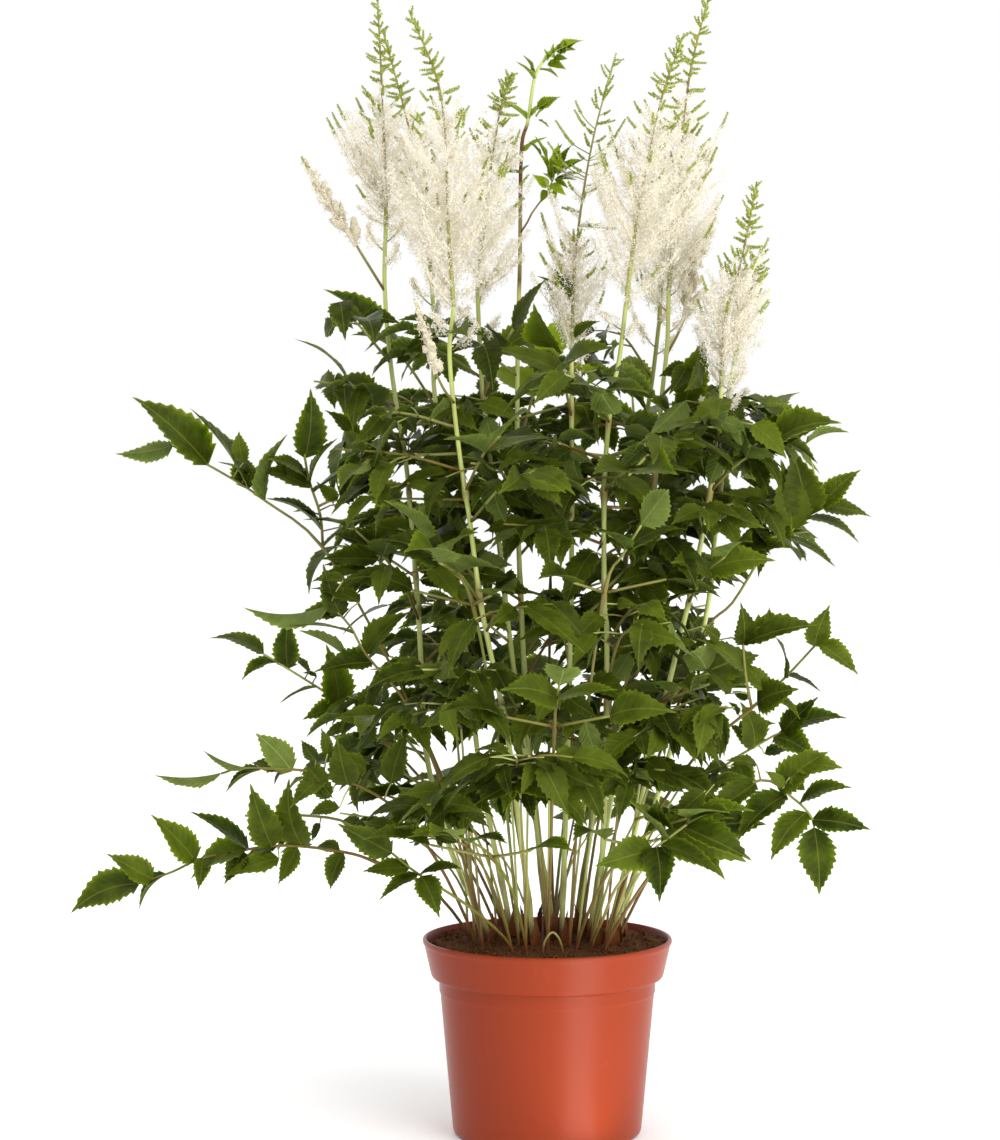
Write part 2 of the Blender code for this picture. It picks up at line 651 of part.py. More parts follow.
def add_plumes(plant):
    """White heads, and the sprigs of buds above them as nodes of their own."""
    for seed, (node, (*way, white_top, reach, sprig)) in enumerate(PLUMES.items()):
        axis = smooth([true_place(*place) for place in way], 8)
        stem = plant.lines[node.replace("plume", "flower_stem")][0]
        seat = (stem[-1] - stem[-2]).normalized()
        foot = stem[-1] + seat * GAP
        axis[0] = foot
        split_height = true_place(0, way[-1][1], white_top).z
        below = [point for point in axis if point.z < split_height - MM]
        above = [point for point in axis if point.z > split_height + MM]
        if len(above) < 2:
            plant.add_head(node, axis, seat, reach * MM, seed)
            continue
        joint = at_height(axis, split_height)
        white = [*below, joint]
        plant.add_head(node, white, seat, reach * MM, seed)
        ahead = (joint - below[-1]).normalized()
        green = [joint + ahead * GAP, *above]
        tip_node = node.replace("plume", "plume_tip")
        plant.add_sprig(tip_node, green, ahead, sprig * MM, seed + TIP_SEED)
    for seed, (node, (stem, _, way, reach)) in enumerate(SIDE_SPIKES.items()):
        axis = smooth([true_place(*place) for place in way], 6)
        stalk = plant.lines[stem][1]
        seat = (stalk[-1] - stalk[-2]).normalized()
        axis[0] = stalk[-1] + seat * GAP
        plant.add_sprig(node, axis, seat, reach * MM, seed + SPIKE_SEED)


def add_outline_stalks(plant):
    for node, (way, twigs, _) in FRONDS.items():
        points = [true_place(*place) for place in way]
        main = plant.add_stalk(node, points, PETIOLE_RADIUS, TWIG_RADIUS, PETIOLE_SIDES, 1, True)
        for twig in twigs:
            line = [true_place(*place) for place in twig]
            line[0] = nearest_on([main], line[0])
            plant.add_stalk(node, line, TWIG_RADIUS * 1.2, TWIG_RADIUS, TWIG_SIDES, 1, False)


def add_outline_leaflets(plant):
    for node, (way, _, leaflets) in FRONDS.items():
        depths = {round(place[0]): place[1] for place in way}
        for tip_x, tip_z, base_x, base_z, face in leaflets:
            depth = depths[min(depths, key=lambda x: abs(x - base_x))]
            base = nearest_on(plant.lines[node], true_place(base_x, depth, base_z))
            side = 1 if (round(tip_x) + round(tip_z)) % 2 else -1
            tip = true_place(tip_x, base.y / MM + side * 9 - 5, tip_z)
            out = Vector((base.x, base.y, 0.0)).normalized()
            plant.add_leaflet(node, base, tip, facing(face, out))


def fill_ways():
    """The stalk of each leaf that fills the middle: its points, and its two side stalks."""
    for number, (turn, reach, height, rise) in enumerate(FILL_LEAVES, 1):
        turn = math.radians(turn)
        out = Vector((math.cos(turn), math.sin(turn), 0.0))
        cross = Vector((-out.y, out.x, 0.0))
        joint = out * reach * MM * JOINT_SHARE + UP * height * MM
        end = out * reach * MM + UP * (height + rise) * MM
        foot = out * (62 - height * 0.07) * MM + UP * SOIL_LINE
        middle = foot.lerp(joint, 0.5) - out * 6 * MM + UP * 8 * MM
        main = [foot, middle, joint, joint.lerp(end, 0.5) + UP * 3 * MM, end]
        twigs = []
        for side in (1, -1):
            aim = out * 0.5 + cross * side * 0.85 + UP * 0.22
            twigs.append([joint, joint + aim * TWIG_LENGTH])
        yield "frond_fill_%02d" % number, main, twigs, out


def add_fill_stalks(plant):
    for node, main, twigs, _ in fill_ways():
        line = plant.add_stalk(node, main, PETIOLE_RADIUS, TWIG_RADIUS, PETIOLE_SIDES, 1, True)
        for twig in twigs:
            twig = [nearest_on([line], twig[0]), twig[1]]
            plant.add_stalk(node, twig, TWIG_RADIUS * 1.2, TWIG_RADIUS, TWIG_SIDES, 1, False)


def leafy_end(line, size, out, face):
    """The end leaflet of a stalk and the pair below it: base, tip and up of each."""
    _, ahead = along(line, 1.0)
    cross = ahead.cross(UP).normalized()
    up = facing(face, out)
    yield line[-1], line[-1] + (ahead * 0.95 - UP * LEAFLET_SAG) * size * END_LEAFLET, up
    base, ahead = along(line, PAIR_SHARE)
    for side in (1, -1):
        aim = (ahead * 0.55 + cross * side * 0.83 - UP * LEAFLET_SAG * 0.5).normalized()
        yield base, base + aim * size, (up + cross * side * 0.2).normalized()


def add_fill_leaflets(plant):
    for number, (node, _, _, out) in enumerate(fill_ways()):
        lines = plant.lines[node]
        size = (47 + 3 * (number % 3)) * MM
        face = 0.35 + 0.1 * (number % 3)
        rachis = lines[0][-3:]
        for base, tip, up in leafy_end(rachis, size, out, face):
            plant.add_leaflet(node, base, tip, up)
        for line in lines[1:]:
            base, tip, up = next(leafy_end(line, size, out, face))
            plant.add_leaflet(node, base, tip, up)


def stem_leaf_lines(plant):
    for stem, height, end in STEM_LEAVES:
        main = plant.lines[stem][0]
        tip = true_place(*end)
        start = at_height(main, true_place(0, end[1], height).z)
        middle = start.lerp(tip, 0.5) + UP * 6 * MM
        yield stem, [start, middle, tip]


def add_stem_leaf_stalks(plant):
    for stem, line in list(stem_leaf_lines(plant)):
        placed = plant.add_stalk(stem, line, TWIG_RADIUS * 1.4, TWIG_RADIUS * 1.1, TWIG_SIDES, 1, False)
        plant.leaf_lines.append((stem, placed))


def add_stem_leaflets(plant):
    for number, (stem, line) in enumerate(plant.leaf_lines):
        out = line[-1] - line[0]
        out.z = 0.0
        out.normalize()
        size = (50 + 4 * (number % 3)) * MM
        face = 0.3 + 0.12 * (number % 4)
        for base, tip, up in leafy_end(line, size, out, face):
            plant.add_leaflet(stem, base, tip, up)
    stem = "young_shoot"
    for height, x, depth, z in SHOOT_LEAFLETS:
        tip = true_place(x, depth, z)
        base = at_height(plant.lines[stem][0], true_place(0, depth, height).z)
        plant.add_leaflet(stem, base, tip, facing(0.4, (tip - base).normalized()), 0.24)


def mesh_object(name, verts, faces, collection):
    mesh = bpy.data.meshes.new(name)
    mesh.from_pydata([tuple(v) for v in verts], [], faces)
    thing = bpy.data.objects.new(name, mesh)
    collection.objects.link(thing)
    return thing


def fuse(node, solids, material):
    """One closed body from a node's overlapping solids."""
    scene = bpy.context.scene.collection
    body = mesh_object(node, *solids[0], scene)
    if len(solids) > 1:
        parts = bpy.data.collections.new(node + "_parts")
        scene.children.link(parts)
        for i, (verts, faces) in enumerate(solids[1:]):
            mesh_object("%s_piece_%d" % (node, i), verts, faces, parts)
        join = body.modifiers.new("join", "BOOLEAN")
        join.operation = "UNION"
        join.operand_type = "COLLECTION"
        join.collection = parts
        join.solver = "MANIFOLD"
        bpy.context.view_layer.update()
        graph = bpy.context.evaluated_depsgraph_get()
        joined = bpy.data.meshes.new_from_object(body.evaluated_get(graph))
        body.modifiers.clear()
        body.data = joined
        for piece in list(parts.objects):
            bpy.data.objects.remove(piece, do_unlink=True)
        bpy.data.collections.remove(parts)
        keep_largest(body)
    body.data.name = node
    body.data.materials.clear()
    body.data.materials.append(material)
    return body


def keep_largest(body):
    """Only the main shell stays: sealed hollows are filled and loose scraps dropped."""
    work = bmesh.new()
    work.from_mesh(body.data)
    left = set(work.verts)
    shells = []
    while left:
        shell = {left.pop()}
        front = list(shell)
        while front:
            vert = front.pop()
            for edge in vert.link_edges:
                other = edge.other_vert(vert)
                if other in left:
                    left.remove(other)
                    shell.add(other)
                    front.append(other)
        shells.append(shell)
    shells.sort(key=len, reverse=True)
    for shell in shells[1:]:
        bmesh.ops.delete(work, geom=list(shell), context="VERTS")
    work.to_mesh(body.data)
    work.free()


def turned(name, profile, sides, material):
    """A body turned about the vertical axis from (radius, height) pairs, with flat ends."""
    verts = []
    for radius, height in profile:
        for side in range(sides):
            angle = 2 * math.pi * side / sides
            verts.append(Vector((radius * math.cos(angle), radius * math.sin(angle), height)))
    faces = [tuple(reversed(range(sides)))]
    for level in range(len(profile) - 1):
        for side in range(sides):
            a = level * sides + side
            b = level * sides + (side + 1) % sides
            faces.append((a, b, b + sides, a + sides))
    faces.append(tuple(range(len(verts) - sides, len(verts))))
    body = mesh_object(name, verts, faces, bpy.context.scene.collection)
    body.data.materials.append(material)
    return body


def cut(body, cutters):
    """Takes the cutters' solids out of a body."""
    verts = []
    faces = []
    for part_verts, part_faces in cutters:
        first = len(verts)
        verts += part_verts
        faces += [tuple(first + index for index in face) for face in part_faces]
    tool = mesh_object(body.name + "_cutter", verts, faces, bpy.context.scene.collection)
    tool.hide_render = True
    tool.display_type = "WIRE"
    hollow = body.modifiers.new("cut", "BOOLEAN")
    hollow.operation = "DIFFERENCE"
    hollow.object = tool
    hollow.solver = "EXACT"


def build_pot():
    """A thin turned shell with a rim band, rounded foot and drain holes."""
    band_foot = POT_HEIGHT - BAND_HEIGHT
    profile = (
        (BASE_RADIUS - 3.5 * MM, 0.0),
        (BASE_RADIUS - 0.6 * MM, 2.2 * MM),
        (BODY_TOP_RADIUS, band_foot - STEP_DROP),
        (BAND_FOOT_RADIUS - 1.2 * MM, band_foot - 1.2 * MM),
        (BAND_FOOT_RADIUS, band_foot + 0.8 * MM),
        (RIM_RADIUS, POT_HEIGHT - 1.6 * MM),
        (RIM_RADIUS - 0.7 * MM, POT_HEIGHT),
        (RIM_RADIUS - 0.7 * MM - WALL, POT_HEIGHT),
        (BAND_FOOT_RADIUS - WALL, band_foot + 1.2 * MM),
        (BODY_TOP_RADIUS - WALL, band_foot - STEP_DROP - 0.4 * MM),
        (BASE_RADIUS - 2.6 * MM, WALL + 1.0 * MM),
        (BASE_RADIUS - 5.0 * MM, WALL),
    )
    pot = turned("pot", profile, POT_SIDES, make_material("pot"))
    drains = []
    for i in range(DRAIN_COUNT):
        angle = 2 * math.pi * (i + 0.5) / DRAIN_COUNT
        low = Vector((math.cos(angle), math.sin(angle), 0.0)) * DRAIN_RING - UP * WALL
        drains.append(tube([low, low + UP * 3 * WALL], DRAIN_RADIUS, DRAIN_RADIUS, DRAIN_SIDES))
    cut(pot, drains)


def build_soil(feet):
    """Peat that fills the pot, with a plain hole for each stalk."""
    band_foot = POT_HEIGHT - BAND_HEIGHT
    slack = WALL + SOIL_SLACK
    slope = (RIM_RADIUS - BAND_FOOT_RADIUS) / BAND_HEIGHT
    edge = BAND_FOOT_RADIUS - slack + slope * (SOIL_TOP - band_foot)
    profile = (
        (BASE_RADIUS - slack - 1.4 * MM, WALL + 1.4 * MM),
        (BODY_TOP_RADIUS - slack, band_foot - STEP_DROP),
        (BAND_FOOT_RADIUS - slack, band_foot + 2.2 * MM),
        (edge, SOIL_TOP),
    )
    soil = turned("soil", profile, POT_SIDES, make_material("soil"))
    holes = []
    for site, radius, sides in feet:
        low = Vector((site.x, site.y, HOLE_FLOOR))
        high = Vector((site.x, site.y, SOIL_LINE))
        holes.append(tube([low, high], radius + 1.8 * GAP, radius + 1.8 * GAP, sides))
    cut(soil, holes)


def node_material(node):
    if node.startswith("plume_tip"):
        return "bud"
    if node.startswith(("plume", "side_spike")):
        return "plume"
    if node.startswith(("flower_stem", "young_shoot")):
        return "stem"
    return "leaf"


def main():
    clear_scene()
    plant = Plant()
    add_flower_stems(plant)
    add_plumes(plant)
    add_outline_stalks(plant)
    add_fill_stalks(plant)
    add_stem_leaf_stalks(plant)
    add_outline_leaflets(plant)
    add_stem_leaflets(plant)
    add_fill_leaflets(plant)
    build_pot()
    build_soil(plant.feet)
    for node, solids in plant.solids.items():
        fuse(node, solids, make_material(node_material(node)))
    print("leaflets set", plant.kept, "left out", plant.dropped)


main()
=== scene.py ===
"""Potted astilbe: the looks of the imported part.

Every node has a fine piece that stands for it: toothed and veined leaflets, round
stalks, plumes of single florets, a smooth pot and crumbly peat. The tables and the
rules that place them are those of the part, in metres, and each stalk and leaflet
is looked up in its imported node, so that the fine one lies where the solid does.
"""

import math
import random

import bpy
import numpy as np
from mathutils import Matrix, Quaternion, Vector, noise
from mathutils.bvhtree import BVHTree
from mathutils.kdtree import KDTree


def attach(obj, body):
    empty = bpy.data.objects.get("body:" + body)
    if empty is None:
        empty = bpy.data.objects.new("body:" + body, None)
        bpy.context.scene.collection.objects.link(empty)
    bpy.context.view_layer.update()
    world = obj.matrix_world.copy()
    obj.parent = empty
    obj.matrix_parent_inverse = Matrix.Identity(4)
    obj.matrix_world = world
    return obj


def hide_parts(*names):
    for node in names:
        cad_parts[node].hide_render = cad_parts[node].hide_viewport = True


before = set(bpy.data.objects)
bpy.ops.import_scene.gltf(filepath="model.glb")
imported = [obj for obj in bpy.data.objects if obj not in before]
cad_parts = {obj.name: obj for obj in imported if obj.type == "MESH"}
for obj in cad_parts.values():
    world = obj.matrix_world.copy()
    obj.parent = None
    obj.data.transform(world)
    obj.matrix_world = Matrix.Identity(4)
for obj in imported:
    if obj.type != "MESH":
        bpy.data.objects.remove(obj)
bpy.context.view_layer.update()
# Without a seed of its own, noise_vector starts from the time of day
noise.seed_set(1)

MM = 0.001
GAP = 0.3 * MM
UP = Vector((0.0, 0.0, 1.0))
FRONT = Vector((0.0, -1.0, 0.0))
FULL_TURN = 2 * math.pi
GOLDEN = math.pi * (3 - math.sqrt(5))

# Where the tables are seen from, which is the camera's place
EYE = Vector((-0.036, -2.6, 0.591))

# Nursery pot
POT_HEIGHT = 150 * MM
RIM_RADIUS = 95 * MM
BAND_FOOT_RADIUS = 89 * MM
BAND_HEIGHT = 28 * MM
BAND_FOOT = POT_HEIGHT - BAND_HEIGHT
BODY_TOP_RADIUS = 82.5 * MM
BASE_RADIUS = 72.5 * MM
WALL = 2.0 * MM
STEP_DROP = 3.5 * MM
DRAIN_COUNT = 6
DRAIN_RADIUS = 5 * MM
DRAIN_RING = 47 * MM
DRAIN_SIDES = 24
POT_TURNS = 112
CORNER = 1.6 * MM

# Peat: its solid, the places for stalks in it, and how uneven its top is
SOIL_TOP = 144 * MM
SOIL_SLACK = 0.8 * MM
SITE_PITCH = 11 * MM
SITE_REACH = 64 * MM
SITE_CHOICES = 6
BURIED_FOOT = 124 * MM
SOIL_LINE = 150 * MM
SOIL_TURNS = 120
SOIL_RINGS = 46
SOIL_RISE = 1.6 * MM
SOIL_CROWN = 1.0 * MM
CRUMBS = 900

# Stalks: radii of the solids, how much slimmer the fine ones are, and the bends that are tried
STEM_RADIUS = 2.6 * MM
STEM_TOP_RADIUS = 1.9 * MM
PETIOLE_RADIUS = 1.6 * MM
TWIG_RADIUS = 1.0 * MM
SLIM = 0.86
YOUNG_TOP = 0.6
BENDS = (0, 6, -6, 12, -12, 18, -18, 25, -25)
FINE_STEPS = 4
STEM_STEPS = 8
# How far up a stalk's foot is red, how red a joint is, and the heights of a flower stem's own joints
FOOT_RED = 22 * MM
NODE_RED = 0.6
STEM_NODES = (187, 332, 421, 487)
# Redness of stalks: shares of the length, and how red there
SHOOT_RED = ((0, 0.53, 0.56, 0.60, 0.64, 0.67, 0.77, 0.80), (0.1, 0.1, 0.9, 0.5, 0.7, 1.0, 1.0, 0.05))
STEM_RED = ((0, 1), (0.0, 0.03))
RED_PETIOLE = ((0, 0.3, 0.8, 1), (0.9, 0.8, 0.3, 0.2))
GREEN_PETIOLE = ((0, 0.3, 0.8, 1), (0.2, 0.1, 0.05, 0.15))
RED_PETIOLES = 0.6

# Leaflets: half width as a share of the length, thickness and camber of the solids
HALF_WIDTH = 0.28
SHOOT_HALF_WIDTH = 0.19
BLADE = 0.7 * MM
CAMBER = 0.07
# Teeth down one margin, how proud they stand, and the thickness at the rib and beside it
TEETH = 10
FEW_TEETH = 8
TOOTHED_FROM = 0.02
TOOTHED = 0.95
TOOTH_LEAN = 0.74
TOOTH = 0.17
SMALL_TOOTH = 0.08
NOTCH = 0.07
LEAST_WIDTH = 0.02
MIDDLE_ROW = 0.52
RIB_DEPTH = 0.8 * MM
WEB_DEPTH = 0.35 * MM
PUCKER = 0.35 * MM
WAVE = 0.9 * MM
# A fine leaflet's own differences: width, camber, bow, twist, fold, wave and where the wave starts
OWN_WAYS = ((0.82, 1.04), (0.7, 1.8), (-0.05, 0.05), (-0.35, 0.35), (0.15, 0.60), (0.3, 1.0), (0.0, 6.3))
# How far a leaflet rolls about its rib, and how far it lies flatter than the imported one
ROLL = 0.42
LEVELLING = (0.0, 0.6)
HIGH_LEVELLING = (0.4, 0.95)
UNLEVELLED = (0.0, 0.0)
# (swing, pitch, scale) tried in turn until a leaflet stands clear, and how many an added one tries
POSES = ((0, 0, 1.0), (14, 0, 1.0), (-14, 0, 1.0), (0, 16, 1.0), (0, -16, 1.0), (24, 14, 1.0),
         (-24, 14, 1.0), (24, -14, 1.0), (-24, -14, 1.0), (0, 30, 0.9), (0, -30, 0.9),
         (0, 0, 0.75), (22, 22, 0.75), (-22, 22, 0.75), (22, -22, 0.75), (-22, -22, 0.75),
         (40, 0, 0.7), (-40, 0, 0.7), (0, 45, 0.7), (0, -45, 0.7))
EXTRA_POSES = 16
# What a packed vertex may be away from where it is looked for
MATCH = 0.03 * MM
# Tones of leaflets; from about 1 up a leaflet takes the young colour, the paler green of young leaves also
# lightened as painted light shining through them
YOUNG_TONE = (1.1, 1.5)
FROND_TONE = (0.1, 0.65)
STEM_TONE = (0.1, 0.7)
ADDED_TONE = (0.05, 0.75)
OUTLINE_TONE = (0.15, 0.8)
# Leaflets in outline that show their pale underside, by their tips, and its tone
UNDERSIDES = ((-299, 274), (-262, 293), (-222, 306), (-231, 402), (-327, 518))
PALE_TONE = 0.5

# Packed plumes: how the spikes vary, their rings and their columns, and where a head is fullest
SPIKE_SPREAD = (0.66, 1.20)
HEAD_PITCH = 12 * MM
HEAD_COLUMNS = 10
HEAD_LEAST_LEVELS = 8
FULLEST = 0.22
SPRIG_COLUMNS = 6
SPRIG_LEVELS = 7
SPRIG_TAPER = 0.75
TIP_SEED = 50
SPIKE_SEED = 80
FINE_SEED = 1000
# Fine plumes: how far a ring's branches are spread up the axis, and how long those between rings are
RING_SPREAD = 1.6
BETWEEN_SPREAD = (0.55, 1.0)
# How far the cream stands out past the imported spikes, and how steeply its branches rise
FULL_SHARE = 1.15
FULL_MORE = 8 * MM
LOW_RISE = 1.55
HIGH_RISE = 0.5
RISE_SPREAD = (0.75, 1.2)
OVERSHOOT = 12 * MM
SWAY = 0.22
BRANCH_STEPS = 5
# How often a branch of a head ends in green buds: below a share of the height, and the chance
GREEN_ENDS = ((0.35, 0.10), (0.7, 0.30), (math.inf, 0.75))
# Florets: petals, how long and how narrow those of every other floret are, and their size
PETALS = 3
PETAL_KINDS = ((1.0, 0.34), (1.7, 0.13))
FLORET = 1.9 * MM
FLORET_PITCH = 0.722 * MM
FLORET_TILT = 0.35
FLORET_SIZES = (0.75, 1.2)
# The sleeve of florets round each branch, how far they drift into clumps, and how wide these are
SLEEVE = 5.6 * MM
SLEEVE_TIP = 1.2 * MM
DRIFT = 3.6 * MM
CLUMP = 9.0 * MM
# Buds, which sit in threes on rods, and a rod's length and core
BUD = 1.0 * MM
BUD_PITCH = 1.4 * MM
ROD = 9.5 * MM
ROD_CORE = 0.75 * MM
ROD_TWIST = 1.05
SPRIG_LEAST = 13 * MM
# Short side branches that a flower stem bears below its head: how many, how far down and how long
LOW_BRANCHES = 3
LOW_SPAN = (4, 38)
LOW_LENGTH = (12, 21)
LOW_BUDDING = (0.8, 1.5, 1.4, 0.5)
ARM_SPREAD = 14
# Plumes whose axis shows low down, as no branch hides it: up to which share, and how far it would face
OPEN_FRONTS = ("plume_3", "plume_5", "plume_6")
OPEN_SHARE = 0.42
OPEN_FACING = 0.6
# Side spikes are of soft lumps: radii in mm along a branch, sides, and how uneven they are
LUMP = (0.8, 1.3, 1.9, 2.5, 2.9, 3.1, 2.8, 2.0, 0.8)
LUMP_SIDES = 9
LUMP_ROUGH = 1.4 * MM
LUMP_GRAIN = 2.6 * MM

# Materials by slot number: a leaf's two faces or a plume's florets and buds, and stalks
LEAF_MATERIALS = ("leaf_top", "leaf_under", "stalk")
PLUME_MATERIALS = ("floret", "bud", "stalk")
# A side spike's florets and lumps take the spire colour, a cream darkened with painted shade
SPIRE_MATERIALS = ("spire", "bud", "stalk")
FLORETS, BUDS, STALK = 0, 1, 2

# Leaves that are added on the flower stems: the least height and their spacing in mm
ADDED_FROM = 262
ADDED_STEP = 38
# Heights in mm at which more leaves close the gaps between the tiers
GAP_HEIGHTS = (474, 524)
# Added leaflets: the share that is turned over, and how much narrower all are
TURNED_OVER = 0.06
SLENDER = 0.9
# Stems that show between the leaves, at which heights in mm, and how wide a strip they keep clear
CLEAR_STEMS = ("flower_stem_1", "flower_stem_3", "flower_stem_6")
CLEAR_HEIGHTS = (370, 520)
CLEAR_WIDTH = 13 * MM

# Flower stems: the way up from the soil, with the depth in the middle
STEMS = {
    "flower_stem_1": ((-45, 5, 150), (-75, 12, 220), (-92, 20, 290), (-95, 22, 340), (-98, 24, 400),
                      (-103, 26, 465), (-107, 28, 510), (-115, 28, 560), (-120, 28, 600),
                      (-123, 28, 647), (-122, 28, 690)),
    "flower_stem_2": ((-30, 25, 150), (-50, 45, 270), (-62, 60, 370), (-70, 66, 437), (-78, 70, 506),
                      (-86, 72, 570), (-85, 74, 610), (-88, 75, 648)),
    "flower_stem_3": ((-10, -20, 150), (-22, -28, 240), (-31, -34, 309), (-39, -38, 347),
                      (-51, -42, 407), (-59, -44, 468), (-67, -46, 521), (-74, -48, 590),
                      (-71, -48, 628)),
    "flower_stem_4": ((5, 12, 150), (-14, 14, 270), (-30, 16, 390), (-43, 18, 510), (-50, 18, 575),
                      (-53, 18, 640)),
    "flower_stem_5": ((14, 0, 150), (15, 4, 280), (18, 6, 420), (18, 8, 540), (18, 8, 596)),
    "flower_stem_6": ((40, -15, 150), (44, -24, 270), (45, -30, 377), (43, -34, 407), (43, -38, 498),
                      (48, -40, 559), (54, -40, 590), (59, -40, 632)),
    "flower_stem_7": ((32, 22, 150), (52, 26, 280), (68, 28, 400), (80, 30, 490), (86, 30, 560),
                      (90, 30, 600), (91, 30, 640)),
    "flower_stem_8": ((22, 42, 150), (42, 62, 290), (58, 76, 430), (72, 82, 530), (79, 84, 575),
                      (84, 84, 618)),
    "flower_stem_9": ((52, -8, 150), (75, -14, 270), (100, -18, 377), (110, -20, 420),
                      (123, -22, 490), (126, -22, 520), (130, -22, 553), (131, -22, 568)),
    "flower_stem_10": ((60, 20, 150), (90, 26, 280), (119, 32, 390), (126, 34, 450), (133, 35, 520),
                       (136, 35, 560), (140, 35, 584)),
    "young_shoot": ((-5, 40, 150), (-14, 38, 300), (-22, 34, 450), (-23, 30, 559), (-22, 28, 627),
                    (-21, 26, 665), (-20, 24, 745), (-15, 23, 768), (-10, 22, 800), (-2, 22, 815)),
}

# Plumes: the way of the axis from the stem's top, where the white ends, reach and sprig reach in mm
PLUMES = {
    "plume_1": ((-122, 28, 690), (-122, 28, 720), (-125, 28, 800), (-128, 28, 862), 790, 25, 9),
    "plume_2": ((-88, 75, 648), (-92, 74, 700), (-105, 72, 765), (-124, 70, 836), 765, 24, 9),
    "plume_3": ((-71, -48, 628), (-75, -48, 690), (-80, -48, 785), (-104, -48, 850), 785, 37, 10),
    "plume_4": ((-53, 18, 640), (-47, 18, 700), (-37, 18, 770), (-27, 18, 804), 772, 26, 8),
    "plume_5": ((18, 8, 596), (21, 8, 670), (33, 8, 750), (51, 8, 818), 685, 22, 26),
    "plume_6": ((59, -40, 632), (68, -40, 700), (84, -40, 780), (102, -40, 833), 778, 33, 12),
    "plume_7": ((91, 30, 640), (98, 30, 720), (106, 30, 800), (121, 30, 862), 788, 27, 11),
    "plume_8": ((84, 84, 618), (86, 84, 655), (90, 82, 700), (97, 80, 742), 742, 22, 7),
    "plume_9": ((131, -22, 568), (134, -22, 620), (146, -22, 665), (157, -22, 722), 672, 22, 9),
    "plume_10": ((140, 35, 584), (145, 35, 610), (152, 35, 640), (160, 35, 672), 672, 15, 6),
}

# Long arms that stand out of the outline: tip x and z in mm, and where on the axis they leave;
# all but those below a share of 0.01 end in buds
ARMS = {
    "plume_1": ((-166, 770, 0.15), (-162, 774, 0.22), (-158, 780, 0.32), (-144, 720, 0.04), (-144, 785, 0.6),
                (-143, 704, 0.0), (-111, 687, 0.0)),
    "plume_3": ((-100, 673, 0.0), (-92, 655, 0.0)),
    "plume_4": ((-21, 761, 0.5), (-30, 744, 0.4), (-15, 686, 0.0), (-18, 668, 0.0)),
    "plume_5": ((-5, 699, 0.5), (-2, 725, 0.8), (2, 660, 0.0)),
    "plume_tip_5": ((6, 768, 0.43), (58, 769, 0.40), (0, 752, 0.30), (20, 776, 0.55)),
    "plume_6": ((40, 742, 0.3), (46, 764, 0.5)),
    "plume_7": ((135, 774, 0.45), (127, 748, 0.35), (132, 712, 0.12), (124, 691, 0.04)),
    "plume_9": ((166, 680, 0.6), (166, 634, 0.25), (165, 658, 0.4), (113, 634, 0.2), (116, 652, 0.4)),
}

# Side spikes of a panicle that stand apart: stem they leave, way of the stalk, way of the spike, reach
SIDE_SPIKES = {
    "side_spike_1": ("flower_stem_1", ((-123, 28, 640), (-140, 16, 668), (-144, 14, 675)),
                     ((-144, 14, 675), (-160, 6, 700), (-185, -4, 741)), 11),
    "side_spike_2": ("flower_stem_3", ((-72, -47, 556), (-78, -64, 566), (-84, -74, 578)),
                     ((-84, -74, 578), (-90, -78, 604), (-100, -80, 634)), 6),
    "side_spike_3": ("flower_stem_7", ((90, 30, 592), (97, 38, 606), (103, 44, 620)),
                     ((103, 44, 620), (110, 48, 655), (127, 52, 698)), 11),
}

